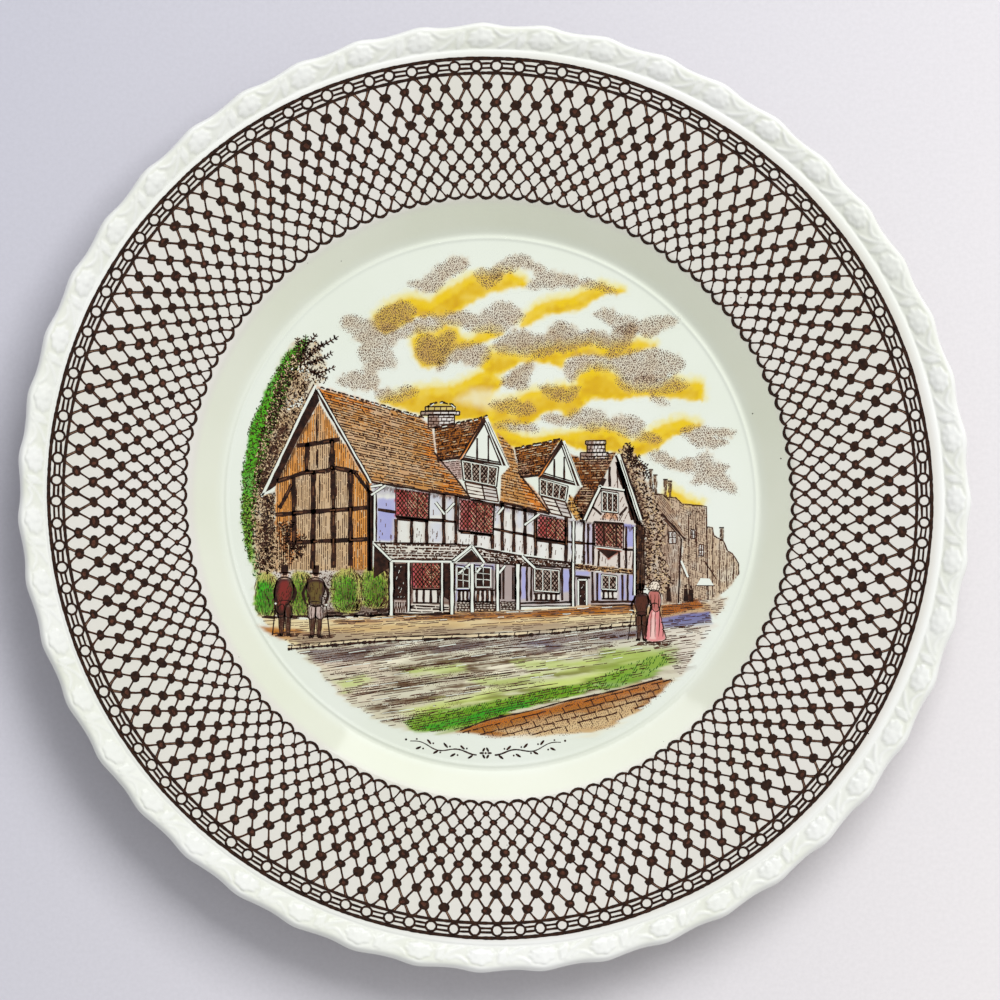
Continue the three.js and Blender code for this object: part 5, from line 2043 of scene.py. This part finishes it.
def road_colours():
    """The road's grey, its dark and bluish patches, and the pale and lime light on it."""
    wash(ROAD, ROAD_SURFACE, soft=0.7, ragged=0.6, strength=0.95)
    for part in ROAD_PATCHES:
        wash(ROAD_DARK, part, soft=1.0, ragged=0.8, strength=0.7, blotch=0.45)
    road_streaks()
    for part in (ROAD_PATCHES[0], [(-6, -39), (20, -37), (44, -35), (46, -36.4), (20, -38.6), (-4, -40.6)],
                 [(44, -31.6), (59, -29), (58, -32), (46, -33.4)]):
        wash(ROAD_BLUE, part, soft=1.0, ragged=0.7, strength=0.4, blotch=0.3)
    wash(ROAD_PALE, [(-46, -43), (-32, -41.6), (-26, -46), (-32, -54), (-40, -50.6)], soft=1.6, ragged=0.8,
         strength=0.5, blotch=0.4)
    lime = [
        [(-42, -47.6), (-34, -45.6), (-30, -47), (-39, -50)],
        [(30, -38), (50, -38.6), (49, -42), (34, -42)],
        [(-24, -44), (-8, -43), (-6, -44.6), (-20, -46)],
        [(6, -42), (28, -40.6), (30, -44), (10, -44.6)],
        [(-6, -46.4), (12, -45.4), (20, -47), (0, -48.6)],
    ]
    for part in lime:
        wash(ROAD_LIME, part, soft=1.1, ragged=0.8, strength=0.8)


def road(drawing):
    road_colours()
    layers = [(drawing.stipple, 0.6, 0.4), (drawing.lights, 1.9, 0.25), (drawing.lines, 1.7, 0.25)]
    for print_, pitch, keep in layers:
        hatch(print_, ROADWAY, ROAD_SLOPE, pitch, 0.17, 3.2, keep, 0.04)
    far_end = [(42, -33.4), (60, -31.6), (57.4, -35.6), (53.6, -41), (51, -45.4), (48, -42), (44, -38.4)]
    wash(ROAD_END, far_end, soft=1.2, ragged=0.8, strength=0.7)
    for x, y in ((46, -34.6), (50, -37.4), (49.6, -40.4), (50, -43.4)):
        streak = [(x - 6, y - 1.2), (x, y - 0.1), (x + 5, y + 0.8), (x, y - 0.9)]
        wash(ROAD_END_STREAK, streak, soft=0.4, ragged=0.5, strength=0.6)
    hatch(drawing.stipple, far_end, ROAD_SLOPE, 0.5, 0.18, 2.6, 0.6, 0.06)
    hatch(drawing.lines, far_end, ROAD_SLOPE, 0.9, 0.2, 3.0, 0.5, 0.06)
    for part in ROAD_PATCHES:
        stipple(drawing.stipple, part, 0.56, 0.55, 1.0, 0.8)
        hatch(drawing.lines, part, ROAD_SLOPE, 0.6, 0.22, 4.6, 0.6, 0.04)
    ruts = [
        [(-45, -44.6), (-20, -40.4), (10, -38), (38, -36.4)],
        [(-38, -51.6), (-16, -47.6), (8, -44.6), (32, -43)],
        [(-44, -47.6), (-22, -44), (0, -41.8), (24, -40)],
        [(-30, -57), (-8, -52), (10, -48.6), (30, -45.6)],
    ]
    for rut in ruts:
        line = curve_through(rut, 10)
        for k in range(0, len(line) - 4, 4):
            if random.random() < 0.75:
                stretch = line[k:k + 5] + random.uniform(-0.3, 0.3, 2)
                drawing.lines.stroke(stretch, 0.3, rough=0.5, taper=0.7)


def verge(drawing):
    """The grass between the road and the brick path, and its glow on the road."""
    grass = [(-20, -56.2), (-14, -55.6), (0, -52.6), (15, -49), (27, -47.2), (29.4, -48.6), (20, -51.6),
             (8, -54.4), (0, -57.4), (-6, -59.6), (-14, -60.8), (-20, -60.6), (-23, -58.6)]
    glow = [(-24, -56), (-14, -52.6), (0, -48.6), (16, -44.6), (30, -41), (46, -38.6), (48, -41), (40, -45),
            (28, -49), (8, -53), (-10, -58), (-22, -59)]
    wash(GRASS_GLOW, glow, soft=1.6, ragged=1.2, strength=0.75, blotch=0.6)
    tufts = [
        [(-16, -54.4), (0, -51), (12, -48.6), (2, -51.6)],
        [(2, -48.6), (20, -45.2), (34, -42.4), (18, -46.2)],
        [(6, -51), (22, -47.6), (36, -44), (24, -48.4)],
        [(24, -43.6), (38, -40.6), (46, -39.6), (34, -42.4)],
    ]
    for part in tufts:
        wash(GRASS_OLIVE, part, soft=0.5, ragged=0.6, strength=0.8)
    wash(GRASS_LIGHT, grass, soft=0.8, ragged=0.6)
    wash(MEADOW, grass, soft=0.8, ragged=0.8, core=0.3, blotch=0.4)
    wash(GRASS_DEEP, [(-18, -59.6), (-8, -56.6), (8, -52.6), (15, -50.4), (10, -53.6), (-4, -57.8),
                      (-14, -60.2)], soft=0.8, ragged=0.8, strength=0.85)
    more = [(26, -47), (36, -42.6), (46, -39), (49, -40.6), (42, -45.6), (30, -49.6)]
    wash(GRASS_END, more, soft=1.0, ragged=0.8, strength=0.9)
    wash(GRASS_FAINT, [(30, -38), (50, -37), (50, -42), (40, -45), (28, -44)], soft=1.6, ragged=0.8,
         strength=0.55)
    for part, keep in ((grass, 0.7), (more, 0.45)):
        hatch(drawing.green, part, 62, 0.5, 0.22, 0.8, keep, 0.1)
        hatch(drawing.lines, part, 12, 0.6, 0.22, 1.6, keep, 0.06)


def brick_path(drawing):
    """The brick path across the corner in front, laid in courses that rise to the right."""
    path = [(-9, -60.8), (0, -57.4), (10, -55.2), (20, -52.4), (30, -50.2), (38, -48.2), (46, -46),
            (49, -46.4), (46, -49.6), (40, -54.4), (33, -58.4), (27, -60.4), (10, -61.4), (0, -61.8)]
    wash(BRICK, path, soft=0.5, ragged=0.4)
    wash(BRICK_BRIGHT, [(-6, -59.8), (0, -57.6), (10, -55.6), (20, -52.8), (30, -50.6), (46, -46.4),
                        (46, -48), (30, -52.4), (16, -55.4), (2, -59)], soft=0.8, ragged=0.5, strength=0.75)
    wash(BRICK_PALE, [(2, -60), (14, -57.6), (28, -54.6), (42, -50), (38, -56), (28, -60.6), (8, -62)],
         soft=1.6, ragged=0.9, strength=0.6)
    corners = np.array(path)
    for level in np.arange(-64, -34, 1.75):
        a, b = np.array([-12, level - 3.4]), np.array([52, level + 13.4])
        for p, r in runs_inside(a, b, corners):
            dashes(drawing.lines, p, r, 0.36, 3.2, 0.85, 0.12)
            length = np.hypot(*(r - p))
            for step in np.arange(random.uniform(0, 3), length, 3.7):
                x, y = p + (r - p) * (step + random.uniform(0, 0.8)) / length
                for a1, b1 in runs_inside((x, y), (x + 0.8, y - 1.5), corners):
                    drawing.lines.line(*a1, *b1, 0.26, rough=0.5)
    stipple(drawing.stipple, path, 0.56, 0.6, 1.2, 1.0)
    top = np.array([(-8, -60.4), (0, -57.4), (10, -55.2), (20, -52.4), (30, -50.2), (38, -48.2), (46, -46)])
    drawing.ink.stroke(curve_through(top, 6), 0.42, rough=0.5)
    drawing.covers.append([*top, (44, -53), (33, -60), (0, -64), (-10, -63)])
    for x in (27, 29.4, 32, 34.6, 37.2):
        drawing.lines.line(x, -35.6 + (x - 27) * 0.09, x + 1.7, -35.3 + (x - 27) * 0.09, 0.4, rough=0.4)


TROUSERS, COAT_DARK, SKIN = (74, 46, 34), (58, 36, 30), (222, 190, 166)
RED_CLOAK, RED_TAILS = (128, 50, 56), (86, 48, 40)
OLIVE_COAT, PALE_TAILS = (106, 90, 58), (206, 184, 178)
BROWN_COAT, BROWN_TAILS = (84, 48, 42), (84, 50, 42)
PINK_DRESS, SKIRT_LIGHT = (224, 140, 142), (244, 208, 200)
SHAWL, BONNET = (186, 112, 108), (240, 228, 210)


def figure(x, y, scale):
    """A function that places a figure's own points, with its feet at x, y."""
    def place(*points):
        return [(x + px * scale, y + py * scale) for px, py in points]
    return place


def coat(drawing, outline, colour, folds, edge):
    """A piece of clothing: its colour, dark edge and a few folds."""
    wash(colour, outline, soft=0.2, ragged=0.06)
    drawing.covers.append(outline)
    drawing.ink.stroke(curve_through(outline, 3, closed=True), edge, closed=True, rough=0.5)
    low, high = np.min(outline, 0), np.max(outline, 0)
    for k in range(folds):
        x = low[0] + (high[0] - low[0]) * (k + 0.7) / (folds + 0.4)
        y0, y1 = high[1] * 0.8 + low[1] * 0.2, high[1] * 0.15 + low[1] * 0.85
        for p, q in runs_inside((x, y1), (x + 0.2, y0), outline):
            drawing.lines.line(*p, *q, 0.24, parts=4, sway=0.1, taper=0.6)


# Parts of a gentleman 20 units tall, from the middle of his feet
TAILS = [(-1.7, 9.4), (-2.1, 6.4), (-1.7, 4.9), (-0.2, 5.3), (0, 7), (0.3, 5.2), (1.8, 4.9), (2.1, 6.4),
         (1.6, 9.4)]
CLOAK_BACK = [(-0.8, 16.1), (-2.0, 15.4), (-2.7, 13), (-2.9, 10), (-2.4, 6.6), (-0.6, 5.8), (0.6, 8.4),
              (1.9, 10), (2.5, 13), (1.9, 15.3), (0.8, 16.1)]
COAT_BACK = [(-0.8, 16.1), (-2.1, 15.4), (-2.5, 13), (-1.7, 10.6), (-1.6, 8.8), (0, 8.4), (1.6, 8.8),
             (1.7, 10.6), (2.5, 13), (2.1, 15.4), (0.8, 16.1)]


def gentleman(drawing, x, y, tall, coat_colour, tail_colour, cane, cloak=False):
    """A man in a top hat and a tail coat or a cloak, seen from behind, with a cane out to one side."""
    scale = tall / 20.0
    body = figure(x, y, scale)
    for side in (-1, 1):
        leg = body((side * 0.1, 8), (side * 1.7, 8), (side * 1.6, 4), (side * 1.3, 0.4), (side * 0.5, 0.4))
        coat(drawing, leg, TROUSERS, 2, 0.3)
        (ax, ay), (bx, by) = body((side * 0.5, 0.3), (side * 1.9, 0))
        drawing.ink.line(ax, ay, bx, by, 0.8 * scale)
    coat(drawing, body(*TAILS), tail_colour, 3, 0.26)
    back = body(*(CLOAK_BACK if cloak else COAT_BACK))
    coat(drawing, back, COAT_DARK, 0, 0.36)
    middle = y + 11 * scale
    lit = [(x + (px - x) * 0.72, middle + (py - middle) * 0.8) for px, py in back]
    wash(coat_colour, lit, soft=0.5)
    hatch(drawing.lines, back, 70 if cloak else 84, 0.45, 0.2, 1.4, 0.5, 0.1)
    for side in (-1, 1):
        bend = 2.9 if cloak else 3.4
        arm = curve_through(body((side * 1.9, 15.1), (side * bend, 12), (side * (bend - 0.8), 9)), 4)
        drawing.ink.stroke(arm, 0.8 * scale, rough=0.2, taper=0.3)
    wash(SKIN, body((-0.8, 15.9), (0.8, 15.9), (0.8, 17.4), (-0.8, 17.4)), soft=0.1)
    drawing.lines.line(*body((-0.8, 16.2))[0], *body((0.8, 16.2))[0], 0.3)
    drawing.ink.spot(x, y + 17.1 * scale, 1.5 * scale, 1.0 * scale, 0, 8, 0.1)
    drawing.ink.shape(body((-0.9, 17.4), (-1.0, 19.6), (1.0, 19.6), (0.9, 17.4)))
    drawing.ink.line(*body((-1.6, 17.4))[0], *body((1.6, 17.4))[0], 0.4 * scale)
    drawing.ink.line(*body((cane * 0.75, 8.6))[0], *body((cane, 0))[0], 0.36 * scale)
    drawing.lights.spot(*body((cane * 0.75, 8.8))[0], 0.6 * scale)


def lady(drawing, x, y, tall, colour):
    """A woman in a full dress, a shawl and a bonnet, seen from behind."""
    body = figure(x, y, tall / 16.0)
    skirt = body((-2.8, 0.6), (-2.2, 4), (-1.3, 8), (-0.8, 10), (0.9, 10), (1.6, 7), (2.5, 3), (2.9, 0.8),
                 (0, 0))
    coat(drawing, skirt, colour, 5, 0.26)
    wash(SKIRT_LIGHT, body((-1.2, 1), (-0.8, 6), (-0.2, 9), (0.3, 5), (0.2, 0.8)), soft=0.3, strength=0.8)
    shawl = body((-0.9, 9.2), (-1.8, 11), (-1.5, 13), (-0.4, 13.8), (1.2, 13.2), (1.7, 11.4), (1.4, 9),
                 (0.3, 8))
    coat(drawing, shawl, SHAWL, 3, 0.26)
    bonnet = body((-1.1, 13.6), (-1.5, 14.8), (-0.6, 16), (0.9, 15.9), (1.5, 14.6), (0.8, 13.5))
    coat(drawing, bonnet, BONNET, 0, 0.22)
    curls(drawing.lines, bonnet, 0.7, 0.4, 0.18, 0.8)


def people():
    drawing = Drawing("people")
    for x0, x1, y in ((-58, -51.4, -35.2), (-50, -42, -35.6), (38.6, 48, -36.6)):
        shadow = [(x0, y - 0.7), (x1, y - 0.5), (x1 + 1, y + 0.6), (x0, y + 0.4)]
        hatch(drawing.lines, shadow, 4, 0.35, 0.3, 2, 0.8)
    gentleman(drawing, -54.8, -35.4, 19.2, RED_CLOAK, RED_TAILS, -3.4, True)
    gentleman(drawing, -46.6, -35.8, 19.6, OLIVE_COAT, PALE_TAILS, 3.9)
    gentleman(drawing, 40.5, -35.8, 15.6, BROWN_COAT, BROWN_TAILS, -4.6)
    lady(drawing, 44.0, -36.4, 16.4, PINK_DRESS)
    for x, tall in ((47.8, 4.6), (52.4, 4.4), (53.8, 4.2)):
        neck = -25.4 + tall * 0.8
        drawing.ink.shape([(x - 0.7, -25.4), (x + 0.7, -25.4), (x + 0.5, neck), (x - 0.5, neck)])
        drawing.ink.spot(x, -25.2 + tall * 0.9, 0.75, 1.0)


def street():
    drawing = Drawing("street")
    paving(drawing)
    road(drawing)
    verge(drawing)
    brick_path(drawing)


def ornament():
    """A small scroll with leaves and dots under the street, on an arc about the middle of the plate."""
    drawing = Drawing("ornament")
    radius = 66.4

    def place(x, out):
        turn = x / radius
        return ((radius + out) * math.sin(turn) - 1.2, -(radius + out) * math.cos(turn))

    for side in (-1, 1):
        stem = [place(side * x, 0.55 * math.sin(x * 0.62)) for x in np.linspace(2.4, 20.4, 40)]
        drawing.ink.stroke(stem, np.linspace(0.42, 0.2, 40), rough=0.2)
        for k, x in enumerate(np.arange(4, 20, 2.3)):
            way = -1 if k % 2 else 1
            px, py = place(side * x, way * 1.15)
            drawing.ink.spot(px, py, 0.62, 1.7, side * way * 0.9 + side * x / radius, 8, 0.1)
            drawing.ink.spot(*place(side * (x + 1.1), -way * 1.0), 0.5, sides=8)
        drawing.ink.spot(*place(side * 21.6, 0), 0.62, sides=8)
    for turn in np.arange(0, 2 * math.pi, math.pi / 3):
        x, y = place(1.05 * math.cos(turn), 1.05 * math.sin(turn))
        drawing.ink.spot(x, y, 0.62, 1.3, turn - math.pi / 2, 8, 0.1)
    drawing.ink.spot(*place(0, 0), 0.6, sides=8)


SHEETS = [      # name, box and grid step of each skin of paint
    ("sky", (-70, 24, 70, 72), 0.45),
    ("left", (-70, -34, 0, 24), 0.3),
    ("right", (0, -34, 70, 24), 0.3),
    ("street", (-64, -66, 64, -34), 0.34),
]

for draw in (sky, houses_beyond, tree, gable_end, front, roofs,
             shrub, ivy, hedge, street, people, ornament):
    draw()
lay_subjects()
for sheet in SHEETS:
    paint_sheet(*sheet)


# ---------------------------------------------------------------- the room

VIEW_WIDTH = 265.3          # what the camera sees across, at the rim's height
VIEW_DISTANCE = 2500.0
LEAN_X, LEAN_Y = math.radians(5.0), math.radians(7.0)   # the camera stands left of and below the axis
AIM = (1.02, -1.29, RIM_END_HEIGHT)
FLOOR_HALF = 3.0            # metres
# The floor's colours carry painted light: painted shade on the left, painted light on the right
FLOOR_SHADED_LEFT, FLOOR_MIDDLE, FLOOR_LIT_RIGHT = (204, 204, 215), (222, 220, 226), (243, 239, 239)
FLOOR_GRAIN = 900
ROOM_COLOUR, ROOM_STRENGTH = (0.97, 0.975, 1.0, 1), 0.48


def camera():
    """A long lens, far off and almost straight above the plate."""
    data = bpy.data.cameras.new("camera")
    data.lens = data.sensor_width * VIEW_DISTANCE / VIEW_WIDTH
    data.clip_start, data.clip_end = 0.01, 20
    eye = bpy.data.objects.new("camera", data)
    bpy.context.scene.collection.objects.link(eye)
    back = np.array([-math.sin(LEAN_X), -math.sin(LEAN_Y), 0.0])
    back[2] = math.sqrt(1 - back @ back)
    z = Vector(back)
    x = Vector((0, 1, 0)).cross(z).normalized()
    y = z.cross(x)
    turn = Matrix((x, y, z)).transposed().to_4x4()
    eye.matrix_world = Matrix.Translation(Vector((np.array(AIM) + back * VIEW_DISTANCE) * MM)) @ turn
    bpy.context.scene.camera = eye


def floor():
    """A sheet of pale paper with painted light: painted shade to the left, and brighter towards the lower
    right.
    """
    look = Nodes("floor_paper")
    across = look.node("ShaderNodeVectorMath", operation="DOT_PRODUCT")
    across.inputs[1].default_value = (2.6, -1.0, 0)
    look.link(look.place(), across.inputs[0])
    share = look.math("ADD", across.outputs["Value"], 0.5)
    # Painted light on the floor: the colour runs from painted shade at the left to brighter at the lower
    # right
    painted_light_stops = [(0.0, srgb(*FLOOR_SHADED_LEFT)), (0.45, srgb(*FLOOR_MIDDLE)), (1.0, srgb(*FLOOR_LIT_RIGHT))]
    painted_floor_light = look.ramp(share, painted_light_stops)
    paper = look.ramp(look.noise(FLOOR_GRAIN, 2), [(0.3, srgb(250, 250, 250)), (0.7, srgb(255, 255, 255))])
    look.link(look.mix("MULTIPLY", 1.0, painted_floor_light, paper), look.shader.inputs["Base Color"])
    look.shader.inputs["Roughness"].default_value = 0.8
    mesh = bpy.data.meshes.new("floor")
    corners = [(x, y, 0) for x, y in upright_box(-FLOOR_HALF, FLOOR_HALF, FLOOR_HALF, -FLOOR_HALF)]
    mesh.from_pydata(corners, [], [(0, 1, 2, 3)])
    mesh.materials.append(look.material)
    plane = bpy.data.objects.new("floor", mesh)
    bpy.context.scene.collection.objects.link(plane)


def softbox(name, place, size, power, colour=(1, 1, 1), reflects=False):
    """A rectangular light aimed at the plate. One that reflects is only seen in the glaze."""
    data = bpy.data.lights.new(name, "AREA")
    data.shape = "RECTANGLE"
    data.size, data.size_y = size
    data.energy = power
    data.color = colour
    lamp = bpy.data.objects.new(name, data)
    bpy.context.scene.collection.objects.link(lamp)
    lamp.location = place
    lamp.rotation_euler = (-Vector(place)).to_track_quat("-Z", "Y").to_euler()
    lamp.visible_diffuse = not reflects
    lamp.visible_glossy = reflects


def room_light():
    world = bpy.data.worlds.new("room")
    world.use_nodes = True
    background = world.node_tree.nodes["Background"]
    background.inputs["Color"].default_value = ROOM_COLOUR
    background.inputs["Strength"].default_value = ROOM_STRENGTH
    bpy.context.scene.world = world
    softbox("main_light", (0.5, 0.75, 1.5), (1.2, 1.0), 22)
    softbox("window_light", (-0.02, 1.1, 0.36), (1.5, 0.34), 4.5, (0.95, 0.97, 1), reflects=True)


camera()
floor()
room_light()
bpy.context.scene.view_settings.view_transform = "Standard"

bpy.context.view_layer.update()
